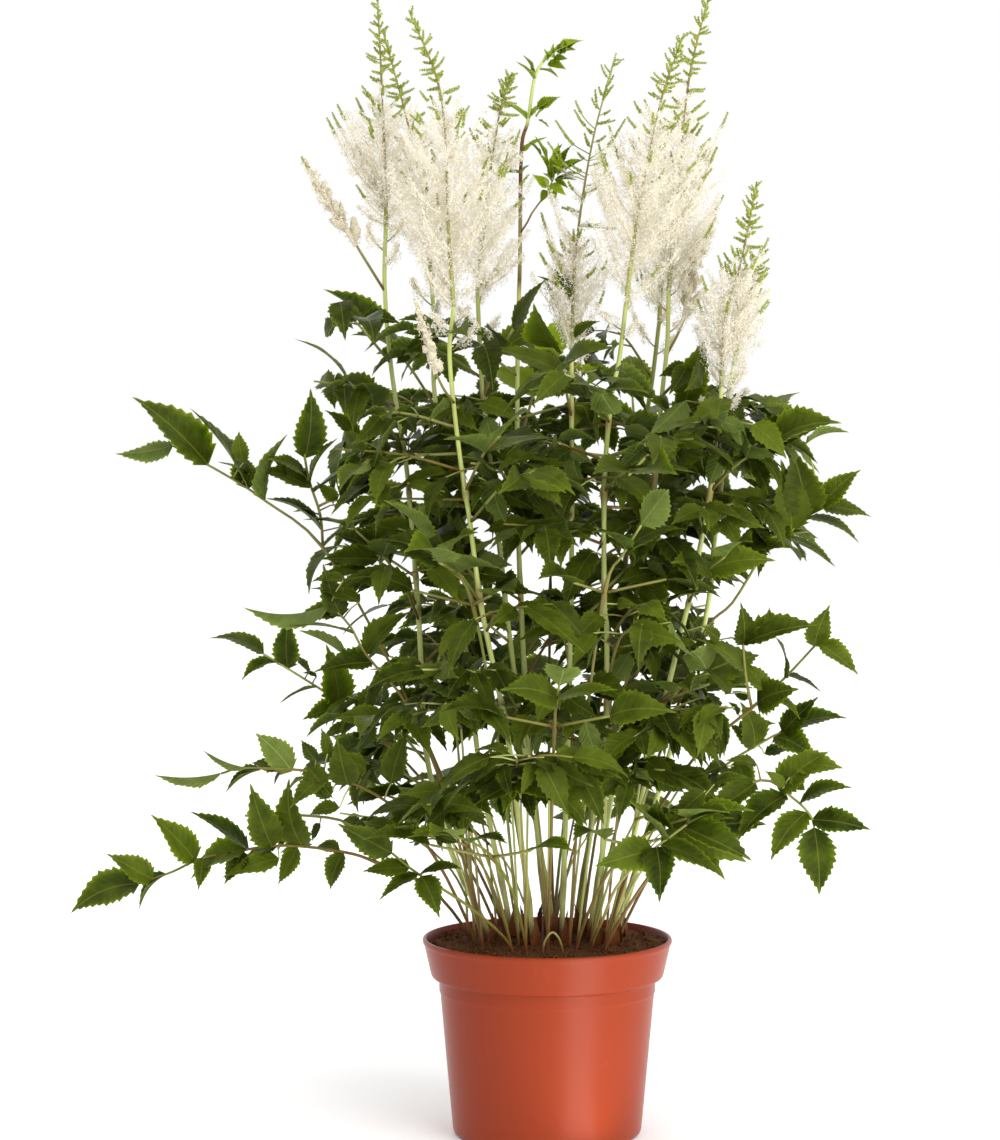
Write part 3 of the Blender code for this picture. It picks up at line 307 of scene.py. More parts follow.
# Leaves seen in outline: the way of the leaf stalk from the soil, its side stalks, and its leaflets.
# A leaflet is its tip x and z, its base x and z, and how far it faces the front, from 0 to 1.
FRONDS = {
    "frond_left_high": (
        ((-45, -8, 150), (-72, -8, 250), (-120, -4, 360), (-170, 0, 447), (-213, -4, 482),
         (-240, -8, 500), (-283, -12, 524)),
        (((-170, 0, 447), (-172, -8, 472), (-180, -14, 497), (-184, -18, 518)),),
        ((-327, 518, -283, 524, 0.3), (-314, 561, -255, 512, 0.35), (-280, 545, -225, 492, 0.4),
         (-238, 545, -226, 492, 0.45), (-212, 539, -213, 484, 0.5), (-192, 567, -184, 518, 0.5),
         (-158, 530, -180, 500, 0.5), (-212, 520, -182, 500, 0.4), (-140, 522, -178, 492, 0.75),
         (-214, 484, -170, 462, 0.6), (-136, 470, -168, 448, 0.6))),
    "frond_left_middle": (
        ((-48, -25, 150), (-75, -34, 250), (-105, -42, 325), (-137, -48, 365), (-150, -51, 388),
         (-165, -54, 403)),
        (),
        ((-231, 402, -165, 403, 0.12), (-202, 386, -150, 380, 0.3), (-187, 424, -156, 395, 0.5),
         (-102, 399, -137, 366, 0.7), (-178, 352, -132, 360, 0.5))),
    "frond_left_low": (
        ((-38, 40, 150), (-62, 44, 220), (-95, 40, 270), (-133, 34, 307), (-155, 30, 326),
         (-170, 27, 338), (-205, 24, 360), (-215, 22, 366)),
        (),
        ((-257, 378, -215, 366, 0.3), (-232, 346, -205, 360, 0.3), (-205, 394, -196, 356, 0.5),
         (-204, 328, -175, 342, 0.5), (-168, 374, -157, 330, 0.75), (-186, 316, -152, 324, 0.5),
         (-120, 350, -140, 314, 0.75))),
    "frond_left_flat": (
        ((-55, -15, 150), (-85, -40, 210), (-120, -58, 252), (-170, -66, 275), (-229, -70, 279),
         (-248, -71, 275)),
        (),
        ((-299, 274, -248, 275, 0.12), (-262, 293, -229, 279, 0.2), (-245, 260, -218, 278, 0.25),
         (-222, 306, -194, 277, 0.5), (-196, 248, -168, 274, 0.5), (-160, 304, -150, 268, 0.65))),
    "frond_left_long": (
        ((-55, 12, 150), (-90, 4, 188), (-130, -8, 207), (-155, -14, 215), (-200, -20, 220),
         (-240, -24, 215), (-266, -26, 209), (-285, -28, 200), (-310, -30, 191)),
        (((-130, -8, 207), (-150, 6, 236), (-185, 14, 243), (-217, 18, 242), (-230, 19, 243)),),
        ((-363, 168, -310, 191, 0.6), (-336, 214, -301, 195, 0.5), (-311, 170, -290, 199, 0.55),
         (-302, 244, -268, 209, 0.85), (-272, 186, -262, 211, 0.5), (-246, 190, -232, 216, 0.5),
         (-272, 246, -230, 243, 0.5), (-226, 268, -212, 242, 0.5), (-205, 190, -190, 218, 0.5),
         (-250, 228, -208, 242, 0.45), (-196, 272, -182, 243, 0.5), (-165, 186, -155, 215, 0.5))),
    "frond_front_left": (
        ((-30, -45, 150), (-58, -72, 172), (-98, -98, 198), (-118, -106, 214)),
        (),
        ((-160, 237, -118, 214, 0.5), (-141, 200, -105, 204, 0.4), (-134, 184, -99, 198, 0.5),
         (-64, 202, -97, 198, 0.25), (-82, 164, -95, 196, 0.95))),
    "frond_right_high": (
        ((45, 10, 150), (72, 12, 250), (100, 12, 330), (120, 10, 385), (140, 6, 405), (162, 0, 440),
         (175, -4, 450), (190, -9, 465), (207, -14, 478)),
        (),
        ((245, 470, 207, 478, 0.3), (237, 506, 206, 478, 0.5), (203, 528, 198, 472, 0.55),
         (236, 450, 196, 470, 0.4), (176, 514, 184, 460, 0.6), (218, 432, 180, 454, 0.45),
         (134, 482, 168, 446, 0.7), (126, 436, 150, 424, 0.4))),
    "frond_right_middle": (
        ((42, -20, 150), (70, -32, 220), (110, -42, 285), (155, -50, 325), (180, -54, 348),
         (205, -58, 375)),
        (((155, -50, 325), (150, -60, 352), (148, -66, 378)),),
        ((236, 350, 205, 375, 0.45), (214, 404, 202, 372, 0.5), (206, 388, 148, 378, 0.3),
         (146, 406, 148, 378, 0.6), (208, 337, 182, 350, 0.5), (172, 380, 180, 348, 0.6),
         (192, 316, 165, 334, 0.5), (112, 378, 149, 358, 0.6), (196, 352, 158, 330, 0.5))),
    "frond_right_flat": (
        ((56, 4, 150), (88, 6, 215), (125, 6, 272), (165, 4, 300), (182, 2, 308)),
        (),
        ((228, 317, 182, 308, 0.3), (206, 334, 178, 307, 0.5), (204, 284, 172, 303, 0.5),
         (146, 330, 156, 296, 0.6), (158, 256, 142, 286, 0.5))),
    "frond_right_low": (
        ((48, -34, 150), (80, -58, 200), (120, -80, 245), (162, -94, 270), (187, -98, 256),
         (200, -100, 243), (203, -101, 234)),
        (),
        ((207, 182, 203, 234, 0.95), (246, 232, 202, 240, 0.6), (170, 208, 198, 246, 0.95),
         (232, 264, 192, 252, 0.45), (144, 222, 182, 259, 0.9), (214, 292, 176, 263, 0.45),
         (118, 240, 158, 268, 0.7))),
    "frond_front_right": (
        ((30, -40, 150), (43, -70, 165), (52, -98, 187), (68, -126, 206), (83, -142, 219),
         (106, -152, 236)),
        (),
        ((158, 246, 106, 236, 0.5), (156, 208, 102, 234, 0.7), (137, 192, 86, 221, 0.75),
         (84, 172, 83, 219, 0.97), (36, 204, 78, 216, 0.65), (62, 254, 90, 226, 0.6))),
}

# More leaflets of the leaves seen in outline: tip x and z, base x and z, and how far it faces the
# front, which is negative for one that shows its underside
MORE_LEAFLETS = {
    "frond_right_high": (
        (193, 550, 160, 524, 0.5), (205, 537, 156, 517, 0.3), (228, 534, 195, 526, 0.1), (188, 511, 183, 466, 0.7),
        (145, 501, 174, 473, 0.4), (131, 488, 172, 473, 0.5), (120, 453, 170, 467, 0.3), (190, 446, 147, 447, 0.2),
        (144, 437, 120, 437, 0.4)),
    "frond_right_middle": (
        (115, 358, 139, 336, 0.6), (140, 338, 152, 332, 0.7), (149, 360, 166, 339, 0.8), (117, 388, 130, 377, 0.7),
        (168, 402, 166, 389, 0.5)),
    "frond_right_flat": (
        (174, 313, 145, 310, 0.3), (195, 295, 165, 290, 0.3), (137, 313, 157, 295, 0.6), (137, 330, 145, 320, 0.6)),
    "frond_right_low": (
        (225, 279, 188, 281, 0.6), (196, 262, 184, 272, 0.7), (165, 277, 180, 265, 0.7), (135, 285, 159, 282, 0.6)),
    "frond_front_right": (
        (135, 195, 87, 230, 0.7), (152, 207, 102, 237, 0.7), (97, 240, 120, 262, 0.7), (152, 272, 127, 267, 0.5)),
    "frond_left_long": (
        (-272, 193, -228, 217, 0.6), (-248, 195, -204, 210, 0.4), (-204, 217, -198, 233, 0.7),
        (-204, 214, -190, 219, 0.4), (-179, 223, -173, 237, 0.7), (-177, 218, -158, 217, 0.6),
        (-162, 192, -158, 207, 0.8)),
    "frond_left_flat": (
        (-225, 283, -200, 278, 0.5), (-208, 266, -199, 280, 0.4), (-197, 262, -184, 272, -0.3),
        (-180, 280, -166, 256, 0.6), (-187, 301, -176, 285, 0.5), (-172, 310, -167, 290, 0.5),
        (-181, 243, -158, 249, 0.5), (-163, 256, -183, 281, 0.9), (-164, 288, -138, 278, 0.5),
        (-106, 307, -119, 267, 0.9)),
    "frond_left_low": ((-199, 369, -181, 352, 0.1), (-186, 352, -175, 349, 0.6)),
    "frond_left_middle": (
        (-179, 421, -155, 422, 0.1), (-189, 396, -152, 399, 0.5), (-181, 416, -142, 406, 0.15),
        (-189, 384, -150, 362, -0.4)),
    "frond_left_high": (
        (-233, 535, -230, 511, 0.5), (-250, 512, -226, 503, -0.4), (-213, 517, -196, 503, 0.5),
        (-218, 504, -179, 492, 0.4), (-175, 497, -159, 483, 0.6), (-128, 511, -156, 483, 0.5),
        (-139, 489, -156, 480, 0.4), (-185, 468, -145, 461, -0.3), (-193, 474, -173, 472, 0.1)),
    "flower_stem_1": ((-169, 551, -144, 528, 0.3), (-173, 438, -128, 438, 0.6)),
}

# Leaves that fill the middle, front and back, in three storeys: degrees round from +X,
# reach, height of the joint and rise beyond it in mm
FILL_LEAVES = (
    (-112, 180, 226, 24), (-58, 185, 234, 28), (82, 200, 232, 28), (142, 180, 244, 30),
    (-88, 168, 322, 36), (-22, 150, 334, 34), (52, 178, 318, 44), (112, 185, 328, 40),
    (-132, 135, 408, 50), (-62, 140, 418, 52), (88, 160, 402, 58),
)
JOINT_SHARE = 0.62
TWIG_LENGTH = 46 * MM
# The end of a leafy stalk: where the pair sits, and how far the leaflets sag
PAIR_SHARE = 0.62
LEAFLET_SAG = 0.12
END_LEAFLET = 1.15

# Leaves on the flower stems: height they leave at, tip x, depth and tip z
STEM_LEAVES = {
    "flower_stem_1": ((400, -145, -6, 460), (520, -150, 14, 572)),
    "flower_stem_2": ((552, -128, 88, 608), (437, -112, 132, 480)),
    "flower_stem_3": ((487, -36, -100, 532), (400, -82, -104, 436)),
    "flower_stem_4": ((560, -26, 2, 612), (470, -42, 84, 540)),
    "flower_stem_5": ((545, 4, -38, 598),),
    "flower_stem_6": ((487, 74, -104, 506), (540, 32, -98, 566)),
    "flower_stem_7": ((500, 104, 8, 556), (430, 122, 72, 470)),
    "flower_stem_8": ((500, 64, 132, 560),),
    "flower_stem_9": ((488, 170, -52, 524), (400, 134, -84, 440)),
    "flower_stem_10": ((500, 160, 66, 540),),
    "young_shoot": ((520, -2, 66, 584),),
}

# Small leaves of the young shoot: height it leaves at, tip x, depth and tip z
SHOOT_LEAFLETS = ((812, 27, 14, 828), (806, 8, 30, 800), (800, -24, 8, 812), (770, 10, 16, 786),
                  (768, -34, 34, 782), (745, 0, 20, 756))

# The most height of the leaves that are added on each flower stem, in mm
LEAFY_TOPS = {"flower_stem_1": 592, "flower_stem_2": 600, "flower_stem_3": 560, "flower_stem_4": 604,
              "flower_stem_5": 590, "flower_stem_6": 560, "flower_stem_7": 574, "flower_stem_8": 576,
              "flower_stem_9": 520, "flower_stem_10": 530, "young_shoot": 606}

# Young leaves: tip x and z, base x and z, depth in mm, and half width as a share of the length
YOUNG_LEAVES = {
    "young_shoot": (
        (-3, 822, 0, 813, 18, 0.26), (4, 826, 5, 815, 18, 0.28), (25, 828, 8, 818, 20, 0.3),
        (15, 814, 4, 814, 16, 0.28), (11, 827, 8, 818, 16, 0.3), (21, 821, 11, 820, 16, 0.26),
        (-19, 817, -11, 803, 20, 0.26), (9, 786, -8, 778, 18, 0.28), (-3, 777, -9, 771, 16, 0.28),
        (1, 763, -7, 769, 20, 0.16), (-37, 729, -20, 729, 20, 0.14), (-14, 735, -20, 729, 18, 0.26),
        (11, 751, 5, 738, 14, 0.3), (27, 739, 8, 729, 16, 0.2), (25, 729, 8, 724, 14, 0.24),
        (-15, 753, -5, 742, 16, 0.15), (-4, 729, 3, 723, 12, 0.24), (6, 708, 3, 720, 14, 0.2),
        (16, 717, 6, 724, 16, 0.2), (12, 829, 12, 818, 17, 0.26), (14, 806, 0, 811, 20, 0.24),
        (8, 752, 4, 728, 14, 0.22), (-7, 744, 2, 724, 16, 0.24), (18, 750, 7, 729, 18, 0.24),
        (27, 739, 7, 727, 16, 0.24), (22, 724, 5, 724, 12, 0.26), (-12, 728, 0, 719, 18, 0.24),
        (14, 712, 3, 721, 12, 0.24), (1, 741, 3, 725, 10, 0.26), (-10, 757, 0, 736, 20, 0.16),
        (-6, 706, -1, 716, 16, 0.24)),
    "flower_stem_5": (
        (-9, 652, 17, 634, 4, 0.11), (-1, 661, 17, 640, 8, 0.11), (4, 650, 18, 636, 0, 0.12),
        (11, 654, 19, 642, 6, 0.14), (40, 618, 20, 606, 2, 0.24)),
}
# The stalk they sit on: x and z in mm, and its depth
YOUNG_STALK = ((-19, 684), (-12, 699), (-3, 711), (3, 722), (5, 728))
YOUNG_DEPTH = 18

# Sheaths round the foot of each stem, and a looped stalk between the stems: x, y and z in mm
SHEATHS = 4
LOOP = ((-4, -52, 140), (-3, -52, 154), (3, -51, 162), (9, -50, 155), (12, -50, 140))

# The dense middle of the foliage as seen from the front: height, left and right side in mm
CORE = ((196, -50, 44), (218, -97, 74), (241, -165, 145), (271, -218, 140), (301, -187, 134), (331, -150, 120),
        (369, -195, 112), (407, -187, 118), (437, -172, 200), (468, -165, 215), (505, -160, 210),
        (543, -155, 195), (574, -182, 130), (596, -168, 66), (622, -168, 14), (634, -60, 2))
CORE_DEPTH = 150 * MM


def true_place(x, y, z):
    """A table's place in mm, moved along the line of sight to its own depth."""
    depth = y * MM
    widen = 1.0 + depth / -EYE.y
    return Vector((EYE.x + (x * MM - EYE.x) * widen, depth, EYE.z + (z * MM - EYE.z) * widen))


def seen_line(way):
    """A line of places of a table."""
    return [true_place(*place) for place in way]


def level_way(angle):
    """The level direction at an angle round from +X."""
    return Vector((math.cos(angle), math.sin(angle), 0.0))


def outward(place):
    """The level direction from the axis of the pot to a place."""
    return Vector((place.x, place.y, 0.0)).normalized()


def turned_way(first, other, angle):
    """The direction at an angle from one direction towards another that is square to it."""
    return first * math.cos(angle) + other * math.sin(angle)


def sides_of(ahead, helper=UP):
    """Two directions square to a line and to each other."""
    side = ahead.cross(helper)
    side = side.normalized() if side.length > 0.1 else Vector((1.0, 0.0, 0.0))
    return side, ahead.cross(side)


def shifted(points, across, away, middle):
    """The points moved aside: those in the middle most, or more and more towards the end."""
    last = len(points) - 1
    shift = Vector((across, away, 0.0)) * MM
    return [point + shift * (math.sin(math.pi * i / last) if middle else i / last)
            for i, point in enumerate(points)]


def line_length(points):
    return sum((b - a).length for a, b in zip(points, points[1:]))


def along(points, share):
    """The place and the direction at a share of a polyline's length."""
    left = share * line_length(points)
    for a, b in zip(points, points[1:]):
        length = (b - a).length
        if left <= length or b is points[-1]:
            return a.lerp(b, min(left / length, 1.0)), (b - a).normalized()
        left -= length


def nearest_on(lines, place):
    """The point of the polylines that is nearest to a place."""
    found = []
    for points in lines:
        for a, b in zip(points, points[1:]):
            span = b - a
            found.append(a + span * max(0.0, min(1.0, (place - a).dot(span) / span.length_squared)))
    return min(found, key=lambda point: (place - point).length)


def head_reach(share):
    """How far a white plume reaches at a share of its height, as a share of its most."""
    if share < FULLEST:
        return 0.55 + 0.45 * share / FULLEST
    return 1.0 - 0.66 * (share - FULLEST) / 0.78


def sprig_reach(share):
    """How far the bud sprigs above the white reach."""
    return 1.0 - SPRIG_TAPER * share


def soil_sites():
    """Places for stalks in the soil, on a grid of triangles; each is taken once."""
    row_pitch = SITE_PITCH * math.sqrt(3) / 2
    rows = int(SITE_REACH / row_pitch) + 1
    columns = int(SITE_REACH / SITE_PITCH) + 1
    grid = [Vector(((column + 0.5 * (row % 2)) * SITE_PITCH, row * row_pitch, 0.0))
            for row in range(-rows, rows + 1) for column in range(-columns, columns + 1)]
    return [place for place in grid if place.length <= SITE_REACH]


def stalk_ways(points, sites):
    """The ways a stalk may take, the straightest first, and its place in the soil if rooted."""
    bends = sorted({(abs(a) + abs(b), a, b) for a in BENDS for b in BENDS})
    foot = Vector((points[0].x, points[0].y, 0.0))
    for site in sorted(sites, key=lambda site: (site - foot).length)[:SITE_CHOICES] or [None]:
        for _, across, away in bends:
            if site is None:
                yield None, shifted(points, across, away, False)
            else:
                start = Vector((site.x, site.y, SOIL_LINE))
                yield site, [Vector((site.x, site.y, BURIED_FOOT)),
                             *shifted([start, *points[1:]], across, away, True)]


def smooth(points, steps):
    """A Catmull-Rom curve through the points, with steps pieces to each span."""
    padded = [points[0] * 2 - points[1], *points, points[-1] * 2 - points[-2]]
    curve = []
    for a, b, c, d in zip(padded, padded[1:], padded[2:], padded[3:]):
        for step in range(steps):
            t = step / steps
            curve.append(0.5 * (2 * b + (c - a) * t + (2 * a - 5 * b + 4 * c - d) * t * t
                                + (3 * b - a - 3 * c + d) * t ** 3))
    curve.append(points[-1].copy())
    return curve


def at_height(points, height):
    """The point of a rising polyline at a height."""
    for a, b in zip(points, points[1:]):
        if a.z <= height <= b.z:
            return a.lerp(b, (height - a.z) / (b.z - a.z))
    return points[-1].copy()


def nearest_share(points, place):
    """Where on a polyline a place lies, as a share of its points."""
    distances = [(point - place).length for point in points]
    return distances.index(min(distances)) / (len(points) - 1)


def posed(base, tip, up, swing, pitch, scale):
    """A leaflet turned about its base: swing in its own plane, pitch up or down."""
    rib_line = tip - base
    forward = rib_line.normalized()
    normal = (up - forward * up.dot(forward)).normalized()
    turned = Matrix.Rotation(math.radians(swing), 3, normal) @ rib_line
    hinge = turned.cross(normal).normalized()
    pitched = Matrix.Rotation(math.radians(pitch), 3, hinge)
    return base + pitched @ turned * scale, pitched @ normal


def facing(share, out):
    """The direction of a blade's upper face: up, the front and a little outward."""
    return (UP * (1.05 - share) + FRONT * share + out * 0.15).normalized()


def fill_ways():
    """The stalk of each leaf that fills the middle: its points, and its two side stalks."""
    for number, (turn, reach, height, rise) in enumerate(FILL_LEAVES, 1):
        out = level_way(math.radians(turn))
        cross = Vector((-out.y, out.x, 0.0))
        joint = out * reach * MM * JOINT_SHARE + UP * height * MM
        end = out * reach * MM + UP * (height + rise) * MM
        foot = out * (62 - height * 0.07) * MM + UP * SOIL_LINE
        middle = foot.lerp(joint, 0.5) - out * 6 * MM + UP * 8 * MM
        main = [foot, middle, joint, joint.lerp(end, 0.5) + UP * 3 * MM, end]
        twigs = []
        for side in (1, -1):
            aim = out * 0.5 + cross * side * 0.85 + UP * 0.22
            twigs.append([joint, joint + aim * TWIG_LENGTH])
        yield "frond_fill_%02d" % number, (main, twigs, out)


FILLS = dict(fill_ways())


def leafy_end(line, size, out, face):
    """The end leaflet of a stalk and the pair below it: base, tip and up of each."""
    _, ahead = along(line, 1.0)
    cross = ahead.cross(UP).normalized()
    up = facing(face, out)
    yield line[-1], line[-1] + (ahead * 0.95 - UP * LEAFLET_SAG) * size * END_LEAFLET, up
    base, ahead = along(line, PAIR_SHARE)
    for side in (1, -1):
        aim = (ahead * 0.55 + cross * side * 0.83 - UP * LEAFLET_SAG * 0.5).normalized()
        yield base, base + aim * size, (up + cross * side * 0.2).normalized()


def outline(share):
    """The half width of a leaflet at a share of its length, 1 at most."""
    return share ** 0.65 * (1.0 - share) ** 1.35 / 0.2833


def leaflet_form(teeth, full):
    """A leaflet of length 1 and half width 1: places, thicknesses, triangles, their faces and its margin.

    Each place is (share of the length, share of the half width, pucker). The upper face and
    the underside share the margin, so the blade is closed. Only a full one has rows of
    points between the rib and the margin.
    """
    stations = [(0.0, 0.0)]
    for tooth in range(teeth):
        notch = TOOTHED_FROM + TOOTHED * tooth / teeth
        point = TOOTHED_FROM + TOOTHED * (tooth + TOOTH_LEAN) / teeth
        proud = SMALL_TOOTH if tooth % 2 else TOOTH
        stations.append((notch, max(LEAST_WIDTH, outline(notch) - NOTCH)))
        stations.append((point, outline(point) + proud * (1.1 - point)))
    stations.append((1.0, 0.0))
    last = len(stations) - 1
    places = []
    depths = []

    def row(side, reach, depth, rib=None):
        """Points down the blade; all rows share the ends of the rib."""
        points = []
        for index, (share, width) in enumerate(stations):
            if rib and index in (0, last):
                points.append(rib[index])
                continue
            points.append(len(places))
            drawn_in = 0.05 * (1 - reach) * (1 - abs(2 * share - 1))
            pucker = (1 if index % 2 else -1) if reach == MIDDLE_ROW else 0.0
            places.append((share - drawn_in, side * width * reach, pucker))
            depths.append(depth * min(1.0, 6 * (1 - share)))
        return points

    hands = (1, -1)
    rib = row(0, 0.0, 0.0)
    upper = [[row(side, MIDDLE_ROW, 0.0, rib)] if full else [] for side in hands]
    edges = [row(side, 1.0, 0.0, rib) for side in hands]
    under_rib = row(0, 0.0, RIB_DEPTH, rib)
    under = [[row(side, MIDDLE_ROW, WEB_DEPTH, rib)] if full else [] for side in hands]
    triangles = []
    faces = []
    for hand in (0, 1):
        for face, rows in enumerate(([rib, *upper[hand], edges[hand]], [under_rib, *under[hand], edges[hand]])):
            for first, second in zip(rows, rows[1:]):
                for a, b, c, d in zip(first, first[1:], second, second[1:]):
                    for triangle in ((a, c, d), (a, d, b)):
                        if len(set(triangle)) == 3:
                            triangles.append(triangle if face == hand else triangle[::-1])
                            faces.append(face)
    keen = np.array([index in {*edges[0], *edges[1]} for index in range(len(places))])
    return np.array(places), np.array(depths), np.array(triangles), np.array(faces), keen


LEAFLET = leaflet_form(TEETH, True)
PLAIN_LEAFLET = leaflet_form(FEW_TEETH, False)
MATERIALS = {}


def linked(name, data):
    """A new object in the scene."""
    thing = bpy.data.objects.new(name, data)
    bpy.context.scene.collection.objects.link(thing)
    return thing


class Piece:
    """A mesh gathered from triangles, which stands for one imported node."""

    def __init__(self, node, slot, materials):
        self.node = node
        self.slot = slot
        self.materials = materials
        self.parts = []
        self.count = 0

    def add(self, verts, triangles, material, tone=0.5, places=None, keen=None):
        """Triangles with a material index, a tone for each vertex and places on the leaf."""
        verts = np.asarray(verts, float)
        triangles = np.asarray(triangles, int)
        number = len(verts)
        material = np.broadcast_to(np.asarray(material), (len(triangles),))
        tone = np.broadcast_to(np.asarray(tone, float), (number,))
        places = np.zeros((number, 2)) if places is None else places
        keen = np.zeros(number, bool) if keen is None else keen
        self.parts.append((verts, triangles + self.count, material, tone, places, keen))
        self.count += number

    def recolour(self, pale):
        """The last part's faces as those of a stalk of that paleness."""
        verts, triangles, _, tone, _, keen = self.parts.pop()
        self.parts.append((verts, triangles, np.full(len(triangles), STALK), tone,
                           np.tile((pale, 0.0), (len(verts), 1)), keen))

    def build(self, smooth_faces=True):
        verts, triangles, material, tone, places, keen = (np.concatenate(x) for x in zip(*self.parts))
        mesh = bpy.data.meshes.new("fine_" + self.node)
        mesh.vertices.add(len(verts))
        mesh.vertices.foreach_set("co", verts.astype(np.float32).ravel())
        mesh.loops.add(3 * len(triangles))
        mesh.loops.foreach_set("vertex_index", triangles.astype(np.int32).ravel())
        mesh.polygons.add(len(triangles))
        mesh.polygons.foreach_set("loop_start", np.arange(0, 3 * len(triangles), 3, dtype=np.int32))
        mesh.polygons.foreach_set("material_index", material.astype(np.int32))
        mesh.polygons.foreach_set("use_smooth", np.full(len(triangles), smooth_faces))
        layer = mesh.uv_layers.new(name="blade")
        layer.data.foreach_set("uv", places[triangles.ravel()].astype(np.float32).ravel())
        attribute = mesh.attributes.new("tone", "FLOAT", "POINT")
        attribute.data.foreach_set("value", tone.astype(np.float32))
        mesh.update(calc_edges=True)
        if keen.any():
            ends = np.zeros(2 * len(mesh.edges), np.int32)
            mesh.edges.foreach_get("vertices", ends)
            sharp = keen[ends.reshape(-1, 2)].all(axis=1)
            mesh.attributes.new("sharp_edge", "BOOLEAN", "EDGE").data.foreach_set("value", sharp)
        for name in self.materials:
            mesh.materials.append(MATERIALS[name])
        thing = linked("fine_" + self.node, mesh)
        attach(thing, "root")
        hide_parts(self.node)
        return thing


def tube_walls(levels, sides):
    """Triangles between the rings of a tube, ring after ring."""
    ring = np.arange(sides)
    after = (ring + 1) % sides
    triangles = []
    for first in range(0, (levels - 1) * sides, sides):
        a, b = first + ring, first + after
        triangles += [np.stack((a, b, b + sides), 1), np.stack((a, b + sides, a + sides), 1)]
    return triangles


def round_tube(points, radii, sides):
    """Vertices and triangles of a round stalk with its own radius at each point."""
    count = len(points)
    path = np.array([tuple(point) for point in points])
    ahead = np.gradient(path, axis=0)
    ahead /= np.linalg.norm(ahead, axis=1)[:, None]
    across = np.cross(ahead[0], (0.35, 1.0, 0.1))
    angles = np.arange(sides) * FULL_TURN / sides
    verts = []
    for point, forward, radius in zip(path, ahead, np.broadcast_to(radii, (count,))):
        across = across - forward * across.dot(forward)
        across /= np.linalg.norm(across)
        other = np.cross(forward, across)
        verts.append(point + radius * (np.outer(np.cos(angles), across) + np.outer(np.sin(angles), other)))
    last = (count - 1) * sides
    fan = np.arange(1, sides - 1)
    ends = [np.stack((np.zeros_like(fan), fan + 1, fan), 1),
            np.stack((np.full_like(fan, last), last + fan, last + fan + 1), 1)]
    return np.concatenate(verts), np.concatenate(tube_walls(count, sides) + ends)


def scattered(form, triangles, origins, frames):
    """Copies of a small form, each with its own origin and its own three axes as rows."""
    verts = np.einsum("kj,njc->nkc", form, frames) + origins[:, None, :]
    faces = triangles[None] + (np.arange(len(origins)) * len(form))[:, None, None]
    return verts.reshape(-1, 3), faces.reshape(-1, 3)


class Packed:
    """A node's own vertices, to look up which way a stalk took and which pose a leaflet has."""

    def __init__(self, node):
        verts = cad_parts[node].data.vertices
        self.tree = KDTree(len(verts))
        for index, vert in enumerate(verts):
            self.tree.insert(vert.co, index)
        self.tree.balance()

    def has(self, place, radius=0.0):
        """Whether a vertex lies at that distance from a place."""
        return any(distance > radius - MATCH
                   for _, _, distance in self.tree.find_range(place, radius + MATCH))

    def stalk(self, points, first_radius, last_radius, sites):
        """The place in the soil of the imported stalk, if it is rooted, and the way it takes."""
        most = 0.0
        for site, curve in stalk_ways(points, sites):
            last = len(curve) - 1
            tested = range(1 if site is None else 0, last + 1)
            found = sum(self.has(curve[i], first_radius + (last_radius - first_radius) * i / last)
                        for i in tested)
            share = found / len(tested)
            if share > most:
                most = share
                best = site, curve
            if share == 1.0:
                break
        return best

    def leaflet(self, base, tip, up):
        """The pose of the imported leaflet: tip and direction of its upper face, or None."""
        for pose in POSES:
            new_tip, new_up = posed(base, tip, up, *pose)
            forward = (new_tip - base).normalized()
            normal = (new_up - forward * new_up.dot(forward)).normalized()
            if self.has(new_tip + normal * BLADE / 2) and self.has(new_tip - normal * BLADE / 2):
                return new_tip, new_up
        return None


class Room:
    """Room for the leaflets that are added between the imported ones."""

    def __init__(self):
        verts = []
        faces = []
        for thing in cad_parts.values():
            first = len(verts)
            verts += [vert.co for vert in thing.data.vertices]
            faces += [[first + index for index in polygon.vertices] for polygon in thing.data.polygons]
        self.solids = BVHTree.FromPolygons(verts, faces)
        self.lows = np.zeros((0, 3))
        self.highs = np.zeros((0, 3))
        self.added = []

    def takes(self, verts, faces):
        """Whether a form stands clear of the solids and the added ones, which it then joins."""
        tree = BVHTree.FromPolygons(verts, faces)
        if tree.overlap(self.solids):
            return False
        places = np.array([tuple(vert) for vert in verts])
        low, high = places.min(axis=0), places.max(axis=0)
        near = ((low <= self.highs) & (high >= self.lows)).all(axis=1)
        if any(tree.overlap(self.added[index]) for index in np.nonzero(near)[0]):
            return False
        self.added.append(tree)
        self.lows = np.vstack((self.lows, low))
        self.highs = np.vstack((self.highs, high))
        return True

    def fit(self, base, tip, up):
        """The first pose in which an added leaflet stands clear, or None."""
        for pose in POSES[:EXTRA_POSES]:
            new_tip, new_up = posed(base, tip, up, *pose)
            if not (in_core(new_tip) and in_core(base.lerp(new_tip, 0.5))):
                continue
            rib = new_tip - base
            side = rib.cross(new_up).normalized() * rib.length * HALF_WIDTH
            middle = base + rib * 0.4
            verts = [base + rib * 0.16, middle + side, new_tip, middle - side,
                     middle + rib.length * CAMBER * new_up]
            if self.takes(verts, [(0, 1, 4), (1, 2, 4), (2, 3, 4), (3, 0, 4)]):
                return new_tip, new_up
        return None


